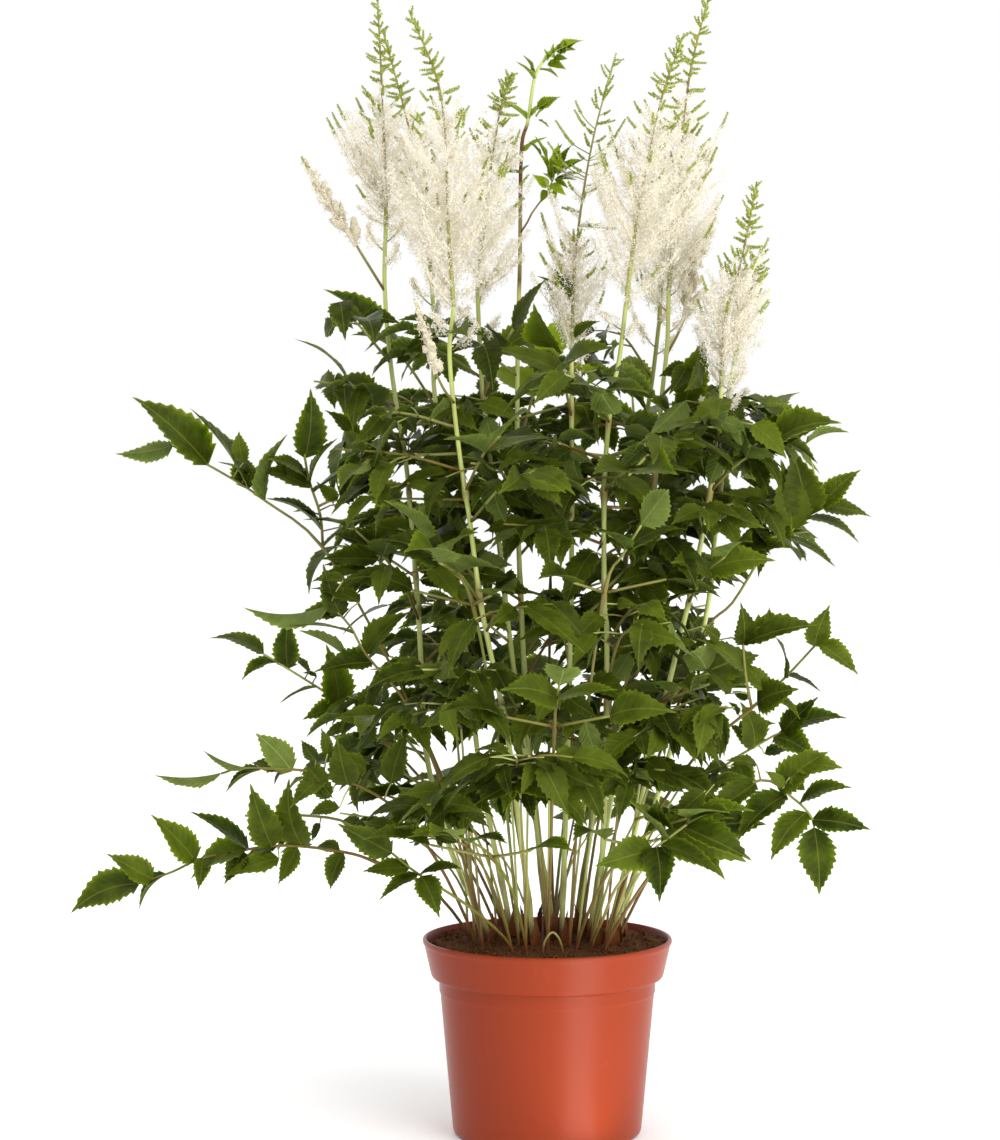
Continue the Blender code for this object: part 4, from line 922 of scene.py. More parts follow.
def in_core(place):
    """Whether a place is within the dense middle of the foliage."""
    widen = 1.0 + place.y / -EYE.y
    x = (EYE.x + (place.x - EYE.x) / widen) / MM
    z = (EYE.z + (place.z - EYE.z) / widen) / MM
    heights, lefts, rights = zip(*CORE)
    if not heights[0] <= z <= heights[-1]:
        return False
    room = min(1.0, (z - heights[0]) / 50 + 0.3, (heights[-1] - z) / 70 + 0.25)
    return np.interp(z, heights, lefts) <= x <= np.interp(z, heights, rights) and abs(place.y) < CORE_DEPTH * room


def add_leaflet(piece, base, tip, up, chance, width=HALF_WIDTH, tone=None, form=LEAFLET, levelling=LEVELLING):
    """A fine leaflet between its base and its tip, with small differences of its own."""
    rib = tip - base
    length = rib.length
    forward = rib / length
    normal = (up - forward * up.dot(forward)).normalized()
    level = UP - forward * UP.dot(forward)
    if level.length > 0.4:
        normal = normal.lerp(level.normalized(), chance.uniform(*levelling)).normalized()
    normal.rotate(Quaternion(forward, chance.uniform(-ROLL, ROLL)))
    broad, arch, bow, twist, fold, wave, phase = (chance.uniform(*ways) for ways in OWN_WAYS)
    half = width * length * broad
    places, depths, triangles, faces, keen = form
    share, across, pucker = places.T
    lift = CAMBER * arch * length * 4 * share * (1 - share)
    lift = lift + (fold * np.abs(across) - 0.10 * across ** 2) * half
    lift = lift + across * twist * share * half
    lift = lift + np.abs(across) ** 2 * np.sin(share * 14 + phase + np.sign(across)) * wave * WAVE
    lift = lift + pucker * PUCKER * np.minimum(1.0, 8 * share * (1 - share)) - depths
    out = across * half + bow * length * 4 * share * (1 - share)
    verts = (np.array(base)[None] + np.outer(share * length, forward)
             + np.outer(out, forward.cross(normal)) + np.outer(lift, normal))
    tone = chance.uniform(*ADDED_TONE) if tone is None else tone
    piece.add(verts, triangles, faces, tone, places[:, :2], keen)


def add_stalk(piece, points, first_radius, last_radius, sides, redness, nodes=(), pale=0.5, fade=0.0):
    """A round stalk. nodes are (share of its length, swelling) and are redder, as is its foot.

    pale is how light it is at its foot, and fade how much less light at its tip.
    """
    count = len(points)
    shares = np.linspace(0.0, 1.0, count)
    radii = first_radius + (last_radius - first_radius) * shares
    tone = np.interp(shares, *redness)
    if points[0].z < SOIL_LINE:
        heights = np.array([point.z for point in points])
        tone = np.maximum(tone, np.exp(-np.maximum(0.0, heights - SOIL_LINE) / FOOT_RED))
    for share, swelling in nodes:
        near = np.exp(-((shares - share) * count / 0.8) ** 2)
        radii = radii * (1 + swelling * near)
        tone = np.maximum(tone, near * NODE_RED)
    verts, triangles = round_tube(points, radii, sides)
    places = np.stack((np.repeat(pale - fade * shares, sides), np.zeros(len(verts))), 1)
    piece.add(verts, triangles, STALK, np.repeat(tone, sides), places)


def closed(form, faces):
    """Faces of a convex form turned so that they all look outward."""
    middle = form.mean(axis=0)
    return [(a, b, c) if np.cross(form[b] - form[a], form[c] - form[a]).dot(form[a] - middle) > 0 else (a, c, b)
            for a, b, c in faces]


def floret_form(long, narrow):
    """A few narrow petals about a middle, each a closed sliver."""
    verts = []
    faces = []
    for petal in range(PETALS):
        angle = FULL_TURN * petal / PETALS
        cos, sin = math.cos(angle), math.sin(angle)
        sliver = np.array(((0.0, 0, -0.1), (0.60, -narrow, 0.22), (0.60, narrow, 0.34),
                           (long, 0, 0.15 + 0.35 * petal)))
        for face in closed(sliver, ((0, 1, 2), (0, 1, 3), (0, 2, 3), (1, 2, 3))):
            faces.append([len(verts) + index for index in face])
        verts += list(sliver @ np.array(((cos, sin, 0), (-sin, cos, 0), (0, 0, 1))))
    return np.array(verts), np.array(faces)


def bud_form():
    """A small pointed bud of eight faces."""
    verts = np.array(((1, 0, 0), (0, 1, 0), (-1, 0, 0), (0, -1, 0), (0, 0, 1.25), (0, 0, -1.0)), float)
    faces = [(i, (i + 1) % 4, pole) for i in range(4) for pole in (4, 5)]
    return verts, np.array(closed(verts, faces))


def axes_about(directions, spins, scales):
    """Three scaled axes as rows for each direction, which becomes the third."""
    helper = np.where(np.abs(directions[:, 2:3]) < 0.9, (0.0, 0.0, 1.0), (1.0, 0.0, 0.0))
    first = np.cross(helper, directions)
    first /= np.linalg.norm(first, axis=1)[:, None]
    second = np.cross(directions, first)
    cos, sin = np.cos(spins)[:, None], np.sin(spins)[:, None]
    rows = np.stack((first * cos + second * sin, second * cos - first * sin, directions), 1)
    return rows * scales[:, None, None]


def spikes(axis, reach, rule, levels, columns, seed):
    """A branch for every spike of a packed plume: share of the height, root, way out, way ahead
    and length."""
    chance = random.Random(seed)
    for level in range(1, levels):
        ahead = along(axis, level / levels)[1]
        across, other = sides_of(ahead, FRONT)
        for column in range(1 - level % 2, columns, 2):
            out = turned_way(across, other, FULL_TURN * column / columns)
            length = reach * rule(level / levels) * chance.uniform(*SPIKE_SPREAD)
            # In the fine plume a ring's branches leave one above the other
            share = (level + (column / columns - 0.5) * RING_SPREAD) / levels
            yield share, along(axis, max(0.0, share))[0], out, ahead, length


def between(axis, reach, rule, levels, count, rng):
    """Branches between the rings of spikes, none longer than they are."""
    for turn in range(levels * count):
        share = (turn // count + (turn % count + 0.5) / count) / levels
        centre, ahead = along(axis, share)
        out = turned_way(*sides_of(ahead, FRONT), turn * GOLDEN)
        # Each branch takes two draws, and only the first counts
        yield share, centre, out, ahead, reach * rule(share) * rng.uniform(*BETWEEN_SPREAD, 2)[0]


def branch_points(root, out, ahead, length, lift, steps):
    """A branch that leaves outward and turns up, from its root to its tip."""
    middle = root + out * length * 0.62 + ahead * lift * 0.30
    tip = root + out * length + ahead * lift
    return [root * (1 - t) ** 2 + middle * (2 * t * (1 - t)) + tip * t * t
            for t in (i / steps for i in range(steps + 1))]


class Bloom:
    """The florets and buds of one plume, gathered and then set as one mesh."""

    def __init__(self, rng, spire=False):
        self.rng = rng
        self.drift = DRIFT * 0.7 if spire else DRIFT
        self.inner = 0.5 if spire else 0.15
        self.florets = []
        self.buds = []
        self.cores = []

    def sleeve(self, points, until, fullness, start=0.0, pitch=FLORET_PITCH):
        """Florets all round a branch, in a sleeve that narrows to its tip."""
        count = max(3, round(line_length(points) * (until - start) / pitch))
        for index in range(count):
            share = start + (index + self.rng.random()) / count * (until - start)
            root, ahead = along(points, share)
            out = turned_way(*sides_of(ahead), index * GOLDEN + self.rng.uniform(-0.5, 0.5))
            rising = min(1.0, 0.45 + 3.0 * (share - start))
            radius = SLEEVE_TIP + SLEEVE * fullness * rising * max(0.0, 1 - share / until) ** 0.75
            place = root + out * radius * self.rng.uniform(self.inner, 1.05)
            place += noise.noise_vector(place / CLUMP) * self.drift
            aim = out + ahead * 0.5 + Vector(self.rng.normal(0.0, FLORET_TILT, 3))
            self.florets.append((*place, *aim.normalized()))

    def rod(self, points, start, end, thick=1.0):
        """A rod of buds in threes along a stretch of a branch."""
        count = max(3, round(line_length(points) * (end - start) / BUD_PITCH))
        for index in range(count):
            share = start + (end - start) * index / max(1, count - 1)
            place, ahead = along(points, min(share, 1.0))
            sides = sides_of(ahead)
            taper = (1.0 - 0.40 * index / count) * thick
            for third in range(3):
                out = turned_way(*sides, index * ROD_TWIST + third * 2.094)
                centre = place + out * BUD * 0.75 * taper
                self.buds.append((*centre, *(out + ahead * 0.8).normalized(), BUD * taper))
        self.cores.append(([along(points, start + (end - start) * step / 3)[0] for step in range(4)],
                           ROD_CORE * thick))

    def set_on(self, piece):
        for start, kind in enumerate(PETAL_KINDS):
            self.scatter(piece, self.florets[start::2], *floret_form(*kind), FLORETS, FLORET)
        for points, radius in self.cores:
            piece.add(*round_tube(points, np.linspace(radius, radius * 0.6, 4), 5), BUDS, 0.3)
        self.scatter(piece, self.buds, *bud_form(), BUDS, None)

    def scatter(self, piece, rows, form, faces, material, size):
        """Copies of a form on the rows of place, aim and size, each of its own tone."""
        if not rows:
            return
        rows = np.array(rows)
        spins = self.rng.uniform(0, 6.3, len(rows))
        scales = (rows[:, 6] if size is None else size) * self.rng.uniform(*FLORET_SIZES, len(rows))
        verts, triangles = scattered(form, faces, rows[:, :3], axes_about(rows[:, 3:6], spins, scales))
        piece.add(verts, triangles, material, np.repeat(self.rng.uniform(0, 1, len(rows)), len(form)))


def low_branches(piece, bloom, stem, rng):
    """Side branches below a head, bare at first and then in flower."""
    line = stem[::-1]
    total = line_length(line)
    for number in range(LOW_BRANCHES):
        down = LOW_SPAN[0] + (LOW_SPAN[1] - LOW_SPAN[0]) * (number + rng.random()) / LOW_BRANCHES
        root = along(line, down * MM / total)[0]
        out = level_way(number * GOLDEN + rng.uniform(0, 1.5))
        length = rng.uniform(*LOW_LENGTH) * MM
        points = branch_points(root, out, UP, length, length * rng.uniform(0.7, 1.5), BRANCH_STEPS)
        add_stalk(piece, points[:3], 0.6 * MM, 0.5 * MM, 5, ((0, 1), (0.8, 0.4)))
        piece.add(*round_tube(points[2:], np.array(LOW_BUDDING) * MM, 5), FLORETS, 0.2)
        bloom.sleeve(points, 1.0, rng.uniform(0.9, 1.2), rng.uniform(0.15, 0.3), FLORET_PITCH / 2.6)


def long_arms(piece, bloom, axis, arms, rng):
    """Arms that stand out of the plume, in flower up to their buds."""
    for tip_x, tip_z, share in arms:
        root = along(axis, share)[0]
        tip = true_place(tip_x, root.y / MM + rng.uniform(-ARM_SPREAD, ARM_SPREAD), tip_z)
        length = (tip - root).length
        points = smooth([root, root.lerp(tip, 0.5) - UP * 0.10 * length, tip], 3)
        piece.add(*round_tube(points, np.linspace(1.0 * MM, 0.4 * MM, len(points)), 4), FLORETS, 0.2)
        until = 1.0 - 10 * MM / length if share > 0.01 else 1.0
        bloom.sleeve(points, until, rng.uniform(0.75, 1.0), pitch=FLORET_PITCH / 1.7)
        if until < 1.0:
            bloom.rod(points, until - 0.03, 1.0)


def lump(points, radii):
    """An uneven soft rod along a line."""
    verts, triangles = round_tube(points, radii, LUMP_SIDES)
    rough = [noise.noise_vector(Vector(vert) / LUMP_GRAIN) * LUMP_ROUGH for vert in verts]
    return verts + np.array(rough), triangles


def dress_head(node, axis, reach, seed, stem=None):
    """A cream head: the axis, its branches, their florets and, near the top, green bud ends.

    A head on a side spike has no stem of its own, and is dense and slim.
    """
    rng = np.random.default_rng(seed + FINE_SEED)
    spire = stem is None
    piece = Piece(node, "plume", SPIRE_MATERIALS if spire else PLUME_MATERIALS)
    core = axis[:-1:2] + [axis[-1]]
    if spire:
        rule, levels, columns, more = sprig_reach, SPRIG_LEVELS, SPRIG_COLUMNS, 1
        piece.add(*lump(core, np.linspace(2.2 * MM, 1.2 * MM, len(core))), FLORETS, 0.3)
    else:
        levels = max(HEAD_LEAST_LEVELS, round((axis[-1].z - axis[0].z) / HEAD_PITCH) // 2 * 2)
        rule, columns, more = head_reach, HEAD_COLUMNS, 2
        add_stalk(piece, core, STEM_TOP_RADIUS, 0.6 * MM, 7, ((0, 1), (0.25, 0.6)))
    bloom = Bloom(rng, spire)
    total = line_length(axis)
    for share, root, out, ahead, length in [*spikes(axis, reach, rule, levels, columns, seed),
                                            *between(axis, reach, rule, levels, more, rng)]:
        if node in OPEN_FRONTS and share < OPEN_SHARE and out.dot(FRONT) > OPEN_FACING:
            continue
        if not spire:
            length = length * FULL_SHARE + FULL_MORE * (1.0 - 0.7 * share)
        rise = LOW_RISE + (HIGH_RISE - LOW_RISE) * share
        lift = min(length * rise * rng.uniform(*RISE_SPREAD), (1 - share) * total + OVERSHOOT)
        out = (out + Vector(rng.normal(0.0, SWAY, 3))).normalized()
        points = branch_points(root, out, ahead, length, lift, len(LUMP) - 1 if spire else BRANCH_STEPS)
        if spire:
            verts, triangles = lump(points, np.array(LUMP) * MM * (1.05 - 0.8 * share))
        else:
            verts, triangles = round_tube(points, np.linspace(0.5 * MM, 0.3 * MM, len(points)), 3)
        piece.add(verts, triangles, FLORETS, 0.1)
        green = not spire and rng.random() < next(chance for below, chance in GREEN_ENDS if share < below)
        until = max(0.3, 1.0 - ROD / line_length(points)) if green else 1.0
        fullness = (0.55 if spire else 1.0 - 0.35 * share) * rng.uniform(*FLORET_SIZES)
        bloom.sleeve(points, until, fullness, pitch=FLORET_PITCH * 1.4 if spire else FLORET_PITCH)
        if green:
            bloom.rod(points, until, 1.0)
    if spire:
        bloom.rod(axis, 0.88, 1.0)
        bloom.sleeve(axis, 0.93, 0.5, pitch=FLORET_PITCH * 2)
    else:
        low_branches(piece, bloom, stem, rng)
        long_arms(piece, bloom, axis, ARMS.get(node, ()), rng)
    bloom.set_on(piece)
    piece.build(smooth_faces=False)


def dress_sprig(node, axis, reach, seed):
    """The spire of bud rods above the cream."""
    rng = np.random.default_rng(seed + FINE_SEED)
    piece = Piece(node, "bud", PLUME_MATERIALS)
    add_stalk(piece, axis, 1.0 * MM, 0.5 * MM, 6, ((0, 0.6, 1), (0.65, 0.4, 0.0)))
    bloom = Bloom(rng)
    for share, root, out, ahead, length in [*spikes(axis, reach, sprig_reach, SPRIG_LEVELS, SPRIG_COLUMNS, seed),
                                            *between(axis, reach, sprig_reach, SPRIG_LEVELS, 2, rng)]:
        length = max(length, SPRIG_LEAST * sprig_reach(share)) * rng.uniform(0.9, 1.15)
        lift = length * (0.15 + 0.85 * share) * rng.uniform(0.3, 1.4)
        points = branch_points(root, out, ahead, length, lift, 4)
        piece.add(*round_tube(points, np.linspace(0.5 * MM, 0.4 * MM, 5), 3), BUDS, 0.3)
        start = max(0.12, 1.0 - ROD * rng.uniform(0.8, 1.2) / line_length(points))
        bloom.rod(points, start, 1.0, 1.05 - 0.25 * share)
        if share < 0.3 and start > 0.2:
            bloom.sleeve(points, start, 0.35)
    for tip_x, tip_z, share in ARMS.get(node, ()):
        root = along(axis, share)[0]
        tip = true_place(tip_x, root.y / MM, tip_z)
        points = smooth([root, root.lerp(tip, 0.55) - UP * 0.14 * (tip - root).length, tip], 3)
        piece.add(*round_tube(points, np.linspace(0.6 * MM, 0.4 * MM, len(points)), 3), BUDS, 0.3)
        bloom.rod(points, 0.4, 1.0)
    bloom.rod(axis, 0.74, 1.0, 0.9)
    bloom.set_on(piece)
    piece.build(smooth_faces=False)


def seated(way, stalk, steps):
    """The axis of a head, from just above the end of the stalk that bears it."""
    axis = smooth(seen_line(way), steps)
    axis[0] = stalk[-1] + (stalk[-1] - stalk[-2]).normalized() * GAP
    return axis


def dress_plumes(lines):
    for seed, (node, (*way, white_top, reach, sprig)) in enumerate(PLUMES.items()):
        stem = lines[node.replace("plume", "flower_stem")][0]
        axis = seated(way, stem, 8)
        split_height = true_place(0, way[-1][1], white_top).z
        below = [point for point in axis if point.z < split_height - MM]
        above = [point for point in axis if point.z > split_height + MM]
        if len(above) < 2:
            dress_head(node, axis, reach * MM, seed, stem)
            continue
        joint = at_height(axis, split_height)
        dress_head(node, [*below, joint], reach * MM, seed, stem)
        start = joint + (joint - below[-1]).normalized() * GAP
        dress_sprig(node.replace("plume", "plume_tip"), [start, *above], sprig * MM, seed + TIP_SEED)
    for seed, (node, (stem, _, way, reach)) in enumerate(SIDE_SPIKES.items()):
        dress_head(node, seated(way, lines[stem][1], 6), reach * MM, seed + SPIKE_SEED)


class Plant:
    """The stems and leaves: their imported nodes, fine pieces, places in the soil and lines of stalks."""

    def __init__(self):
        nodes = (*STEMS, *FRONDS, *FILLS)
        self.chance = random.Random(7)
        self.sites = soil_sites()
        self.packed = {node: Packed(node) for node in nodes}
        self.pieces = {node: Piece(node, "stem" if node in STEMS else "leaf", LEAF_MATERIALS) for node in nodes}
        self.lines = {node: [] for node in nodes}
        self.leaf_lines = []

    def stalk(self, node, points, first_radius, last_radius, rooted=False):
        """Finds the way of a packed stalk and keeps it."""
        site, curve = self.packed[node].stalk(points, first_radius, last_radius, self.sites if rooted else ())
        if rooted:
            self.sites.remove(site)
        self.lines[node].append(curve)
        return curve

    def leaflet(self, node, base, tip, up, width=HALF_WIDTH, turned=False):
        """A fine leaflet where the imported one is, if that is found."""
        found = self.packed[node].leaflet(base, tip, up)
        if not found:
            return
        tip, up = found
        if turned:
            up, tone, levelling = -up, PALE_TONE, UNLEVELLED
        else:
            # One that stands upright shows the front its upper face
            rib = (tip - base).normalized()
            if rib.z > 0.5 and (up - rib * up.dot(rib)).dot(FRONT) < 0:
                up = -up
            tones = YOUNG_TONE if node == "young_shoot" else FROND_TONE if node in FRONDS else STEM_TONE
            tone = self.chance.uniform(*tones)
            levelling = HIGH_LEVELLING if node == "frond_left_high" else LEVELLING
        add_leaflet(self.pieces[node], base, tip, up, self.chance, width, tone, levelling=levelling)

    def trace_stalks(self):
        """Stalks, in the order in which they take their places in the peat."""
        for node, way in STEMS.items():
            top = STEM_TOP_RADIUS * (YOUNG_TOP if node == "young_shoot" else 1.0)
            self.stalk(node, seen_line(way), STEM_RADIUS, top, True)
        for stem, way, _, _ in SIDE_SPIKES.values():
            points = seen_line(way)
            points[0] = nearest_on(self.lines[stem][:1], points[0])
            self.stalk(stem, points, TWIG_RADIUS * 1.3, TWIG_RADIUS * 1.3)
        leaves = [(node, seen_line(way), [seen_line(twig) for twig in twigs])
                  for node, (way, twigs, _) in FRONDS.items()]
        leaves += [(node, way, twigs) for node, (way, twigs, _) in FILLS.items()]
        for node, way, twigs in leaves:
            main = self.stalk(node, way, PETIOLE_RADIUS, TWIG_RADIUS, True)
            for twig in twigs:
                self.stalk(node, [nearest_on([main], twig[0]), *twig[1:]], TWIG_RADIUS * 1.2, TWIG_RADIUS)
        for stem, stalks in STEM_LEAVES.items():
            for height, *end in stalks:
                tip = true_place(*end)
                start = at_height(self.lines[stem][0], true_place(0, end[1], height).z)
                way = [start, start.lerp(tip, 0.5) + UP * 6 * MM, tip]
                line = self.stalk(stem, way, TWIG_RADIUS * 1.4, TWIG_RADIUS * 1.1)
                self.leaf_lines.append((stem, line))

    def set_leaflets(self):
        """The leaflets of the solids."""
        for node, (way, _, leaflets) in FRONDS.items():
            depths = {round(place[0]): place[1] for place in way}
            for tip_x, tip_z, base_x, base_z, face in leaflets:
                depth = depths[min(depths, key=lambda x: abs(x - base_x))]
                base = nearest_on(self.lines[node], true_place(base_x, depth, base_z))
                side = 1 if (tip_x + tip_z) % 2 else -1
                tip = true_place(tip_x, base.y / MM + side * 9 - 5, tip_z)
                self.leaflet(node, base, tip, facing(face, outward(base)), turned=(tip_x, tip_z) in UNDERSIDES)
        for number, (stem, line) in enumerate(self.leaf_lines):
            size = (50 + 4 * (number % 3)) * MM
            out = outward(line[-1] - line[0])
            for leaflet in leafy_end(line, size, out, 0.3 + 0.12 * (number % 4)):
                self.leaflet(stem, *leaflet)
        for height, x, depth, z in SHOOT_LEAFLETS:
            tip = true_place(x, depth, z)
            base = at_height(self.lines["young_shoot"][0], true_place(0, depth, height).z)
            self.leaflet("young_shoot", base, tip, facing(0.4, (tip - base).normalized()), SHOOT_HALF_WIDTH)
        for number, (node, (_, _, out)) in enumerate(FILLS.items()):
            size = (47 + 3 * (number % 3)) * MM
            face = 0.35 + 0.1 * (number % 3)
            for leaflet in leafy_end(self.lines[node][0][-3:], size, out, face):
                self.leaflet(node, *leaflet)
            for line in self.lines[node][1:]:
                self.leaflet(node, *next(leafy_end(line, size, out, face)))

    def set_stalks(self):
        """The stalks themselves."""
        chance = self.chance
        for node, (rooted, *others) in self.lines.items():
            fine = smooth(rooted, STEM_STEPS if node in STEMS else FINE_STEPS)
            if node in STEMS:
                joints = [(nearest_share(fine, line[0]), 0.25) for stem, line in self.leaf_lines if stem == node]
                joints += [(nearest_share(fine, at_height(rooted, height * MM)), 0.3) for height in STEM_NODES]
                if node == "young_shoot":
                    top, redness, pale, fade = YOUNG_TOP, SHOOT_RED, 0.75, 0.0
                else:
                    top, redness, pale, fade = SLIM, STEM_RED, chance.uniform(0.5, 1.2), 0.35
                add_stalk(self.pieces[node], fine, STEM_RADIUS * SLIM, STEM_TOP_RADIUS * top, 9,
                          redness, joints, pale, fade)
            else:
                redness = RED_PETIOLE if chance.random() < RED_PETIOLES else GREEN_PETIOLE
                joints = [(nearest_share(fine, line[0]), 0.35) for line in others]
                add_stalk(self.pieces[node], fine, PETIOLE_RADIUS * SLIM, TWIG_RADIUS * SLIM, 8,
                          redness, joints, chance.uniform(0.1, 1.0), 0.5)
            for line in others:
                add_stalk(self.pieces[node], smooth(line, FINE_STEPS), TWIG_RADIUS * 1.2, TWIG_RADIUS, 6,
                          ((0, 0.3, 1), (0.8, 0.35, 0.3)), pale=0.25)


def dress_leaves():
    """Stems and leaves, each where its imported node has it, with more leaflets between."""
    plant = Plant()
    plant.trace_stalks()
    plant.set_leaflets()
    for add in (add_outline, add_foliage, add_young, add_crown):
        add(plant.pieces, plant.lines)
    plant.set_stalks()
    for piece in plant.pieces.values():
        piece.build()
    return plant.lines


def add_outline(pieces, lines):
    """The further leaflets of the leaves in outline, each on a short stalk of its own."""
    chance = random.Random(31)
    for node, leaflets in MORE_LEAFLETS.items():
        for tip_x, tip_z, base_x, base_z, face in leaflets:
            seen = nearest_on(lines[node], true_place(base_x, 0, base_z))
            joint = nearest_on(lines[node], true_place(base_x, seen.y / MM, base_z))
            depth = joint.y / MM + chance.uniform(-9, 9)
            base = true_place(base_x, depth, base_z)
            tip = true_place(tip_x, depth + chance.uniform(-14, 14), tip_z)
            twig = [joint, joint.lerp(base, 0.5) + UP * 0.08 * (base - joint).length, base]
            add_stalk(pieces[node], twig, 0.7 * MM, 0.5 * MM, 5, ((0, 1), (0.7, 0.3)), pale=chance.random())
            add_leaflet(pieces[node], base, tip, facing(face, outward(base)), chance,
                        tone=chance.uniform(*OUTLINE_TONE), form=PLAIN_LEAFLET, levelling=(0.0, 0.2))


class Spray:
    """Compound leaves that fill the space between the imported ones."""

    def __init__(self, pieces, lines):
        self.pieces = pieces
        self.clear = [lines[stem][0] for stem in CLEAR_STEMS]
        self.room = Room()
        self.chance = random.Random(11)

    def hides(self, place):
        """Whether a place is in front of a stem that the front view shows."""
        if not CLEAR_HEIGHTS[0] < place.z / MM < CLEAR_HEIGHTS[1]:
            return False
        stems = [at_height(line, place.z) for line in self.clear]
        return any(place.y < stem.y and abs(place.x - stem.x) < CLEAR_WIDTH for stem in stems)

    def gust(self, spread):
        """A small random shift."""
        return Vector([self.chance.gauss(0.0, spread) for _ in range(3)])

    def leaflet(self, node, base, aim, out, size):
        """One leaflet along aim, its face turned up, outward and a little at random."""
        chance = self.chance
        aim = (aim + self.gust(0.16)).normalized()
        up = UP * chance.uniform(0.2, 0.9) + out * chance.uniform(0.3, 1.1) + self.gust(0.22)
        size *= chance.uniform(0.75, 1.15)
        if self.hides(base + aim * size * 0.5):
            return False
        found = self.room.fit(base, base + aim * size, up.normalized())
        if found:
            tip, up = found
            up = -up if chance.random() < TURNED_OVER else up
            add_leaflet(self.pieces[node], base, tip, up, chance, HALF_WIDTH * SLENDER,
                        form=PLAIN_LEAFLET, levelling=(0.0, 0.25))
        return bool(found)

    def end(self, node, line, out, size, share, small):
        """The end leaflet of a stalk, and a pair below it at a share of its length."""
        droop = self.chance.uniform(0.2, 1.15)
        tip, ahead = along(line, 1.0)
        borne = self.leaflet(node, tip, ahead - UP * droop, out, size * END_LEAFLET)
        base, ahead = along(line, share)
        cross = Vector((-ahead.y, ahead.x, 0.0)).normalized()
        for side in (1, -1):
            aim = ahead * 0.55 + cross * side * 0.85 - UP * droop * 0.7
            borne += self.leaflet(node, base, aim, out, size * small)
        return borne

    def leaf(self, node, root, out, reach, rise, size):
        """A leaf with an end part and two side parts, on a stalk that arches outward."""
        chance = self.chance
        cross = Vector((-out.y, out.x, 0.0))
        bend = cross * chance.uniform(-0.15, 0.15) * reach
        middle = root + out * reach * 0.48 + UP * rise * 0.75
        line = smooth([root, middle, root + out * reach + UP * rise + bend], 4)
        end = self.end(node, line, out, size, 0.78, 0.85)
        borne = end
        for share in (0.42, 0.62):
            base, ahead = along(line, share)
            for side in (1, -1):
                aim = ahead * 0.45 + cross * side * chance.uniform(0.7, 1.0) + UP * chance.uniform(-0.25, 0.25)
                twig = smooth([base, base + aim * reach * 0.2, base + aim * reach * 0.38 - UP * 2 * MM], 2)
                found = self.end(node, twig, (out + cross * side * 0.7).normalized(), size * 0.86, 0.6, 0.8)
                if found:
                    self.stalk(node, twig, 0.75, 0.55)
                borne += found
        if borne:
            # A stalk whose end bears nothing stops at its side parts
            self.stalk(node, line if end else line[:6], 1.25, 0.8)
        return borne

    def stalk(self, node, line, first, last):
        red = self.chance.uniform(0.0, 0.8)
        add_stalk(self.pieces[node], line, first * MM, last * MM, 6, ((0, 0.15, 1), (0.9, red, red * 0.5)),
                  pale=self.chance.uniform(0.0, 0.6))


def add_foliage(pieces, lines):
    """More leaves up the flower stems and more leaf stalks from the peat."""
    spray = Spray(pieces, lines)
    chance = spray.chance

    def draw(least, most):
        return chance.uniform(least, most) * MM

    turn = 0
    for node, top in LEAFY_TOPS.items():
        height = ADDED_FROM + chance.uniform(0, ADDED_STEP)
        while height < top:
            root = at_height(lines[node][0], height * MM)
            out = level_way(math.atan2(root.y, root.x) + math.sin(turn * GOLDEN) * 1.9)
            reach = draw(62, 96)
            spray.leaf(node, root, out, reach, chance.uniform(0.05, 0.7) * reach, draw(34, 48))
            turn += 1
            height += ADDED_STEP * chance.uniform(0.8, 1.2)
        for height in GAP_HEIGHTS:
            root = at_height(lines[node][0], (height + chance.uniform(-12, 12)) * MM)
            out = level_way(chance.uniform(0, FULL_TURN))
            reach = draw(48, 80)
            spray.leaf(node, root, out, reach, chance.uniform(-0.2, 0.4) * reach, draw(32, 44))
    for number, node in enumerate((*FRONDS, *FILLS)):
        foot = lines[node][0][1]
        for extra in range(1 + number % 2):
            out = level_way(math.atan2(foot.y, foot.x) + chance.uniform(-1.0, 1.0))
            joint = foot + out * chance.uniform(20, 62) * MM
            joint.z = (214 + 17 * ((number * 2 + extra) % 9)) * MM
            petiole = smooth([foot - UP * 20 * MM, foot, foot.lerp(joint, 0.5) + UP * 12 * MM, joint], 5)
            if spray.leaf(node, petiole[-1], out, draw(56, 84), draw(6, 30), draw(36, 46)):
                redness = (0.95, 0.8, 0.4) if (number + extra) % 2 else (0.3, 0.1, 0.1)
                add_stalk(pieces[node], petiole, draw(0.9, 1.2), 0.85 * MM, 7, ((0, 0.5, 1), redness),
                          pale=chance.random())


def add_young(pieces, lines):
    """Unfolding leaves at the top: small, narrow and bright, partly their own paler green and partly painted light
    shining through them.
    """
    chance = random.Random(23)
    stalk = smooth([true_place(x, YOUNG_DEPTH, z) for x, z in YOUNG_STALK], 2)
    stalk[0] = nearest_on(lines["young_shoot"][:1], stalk[0])
    add_stalk(pieces["young_shoot"], stalk, 0.8 * MM, 0.5 * MM, 6, ((0, 1), (0.9, 0.4)))
    for node, leaves in YOUNG_LEAVES.items():
        for tip_x, tip_z, base_x, base_z, depth, width in leaves:
            base = true_place(base_x, depth + 2, base_z)
            tip = true_place(tip_x, depth - 4, tip_z)
            up = FRONT * chance.uniform(0.3, 1.0) + UP * 0.5 + Vector((chance.uniform(-0.5, 0.5), 0, 0))
            tone = chance.uniform(1.0, 1.5) if node == "young_shoot" else 0.5
            add_leaflet(pieces[node], base, tip, up.normalized(), chance, width, tone)


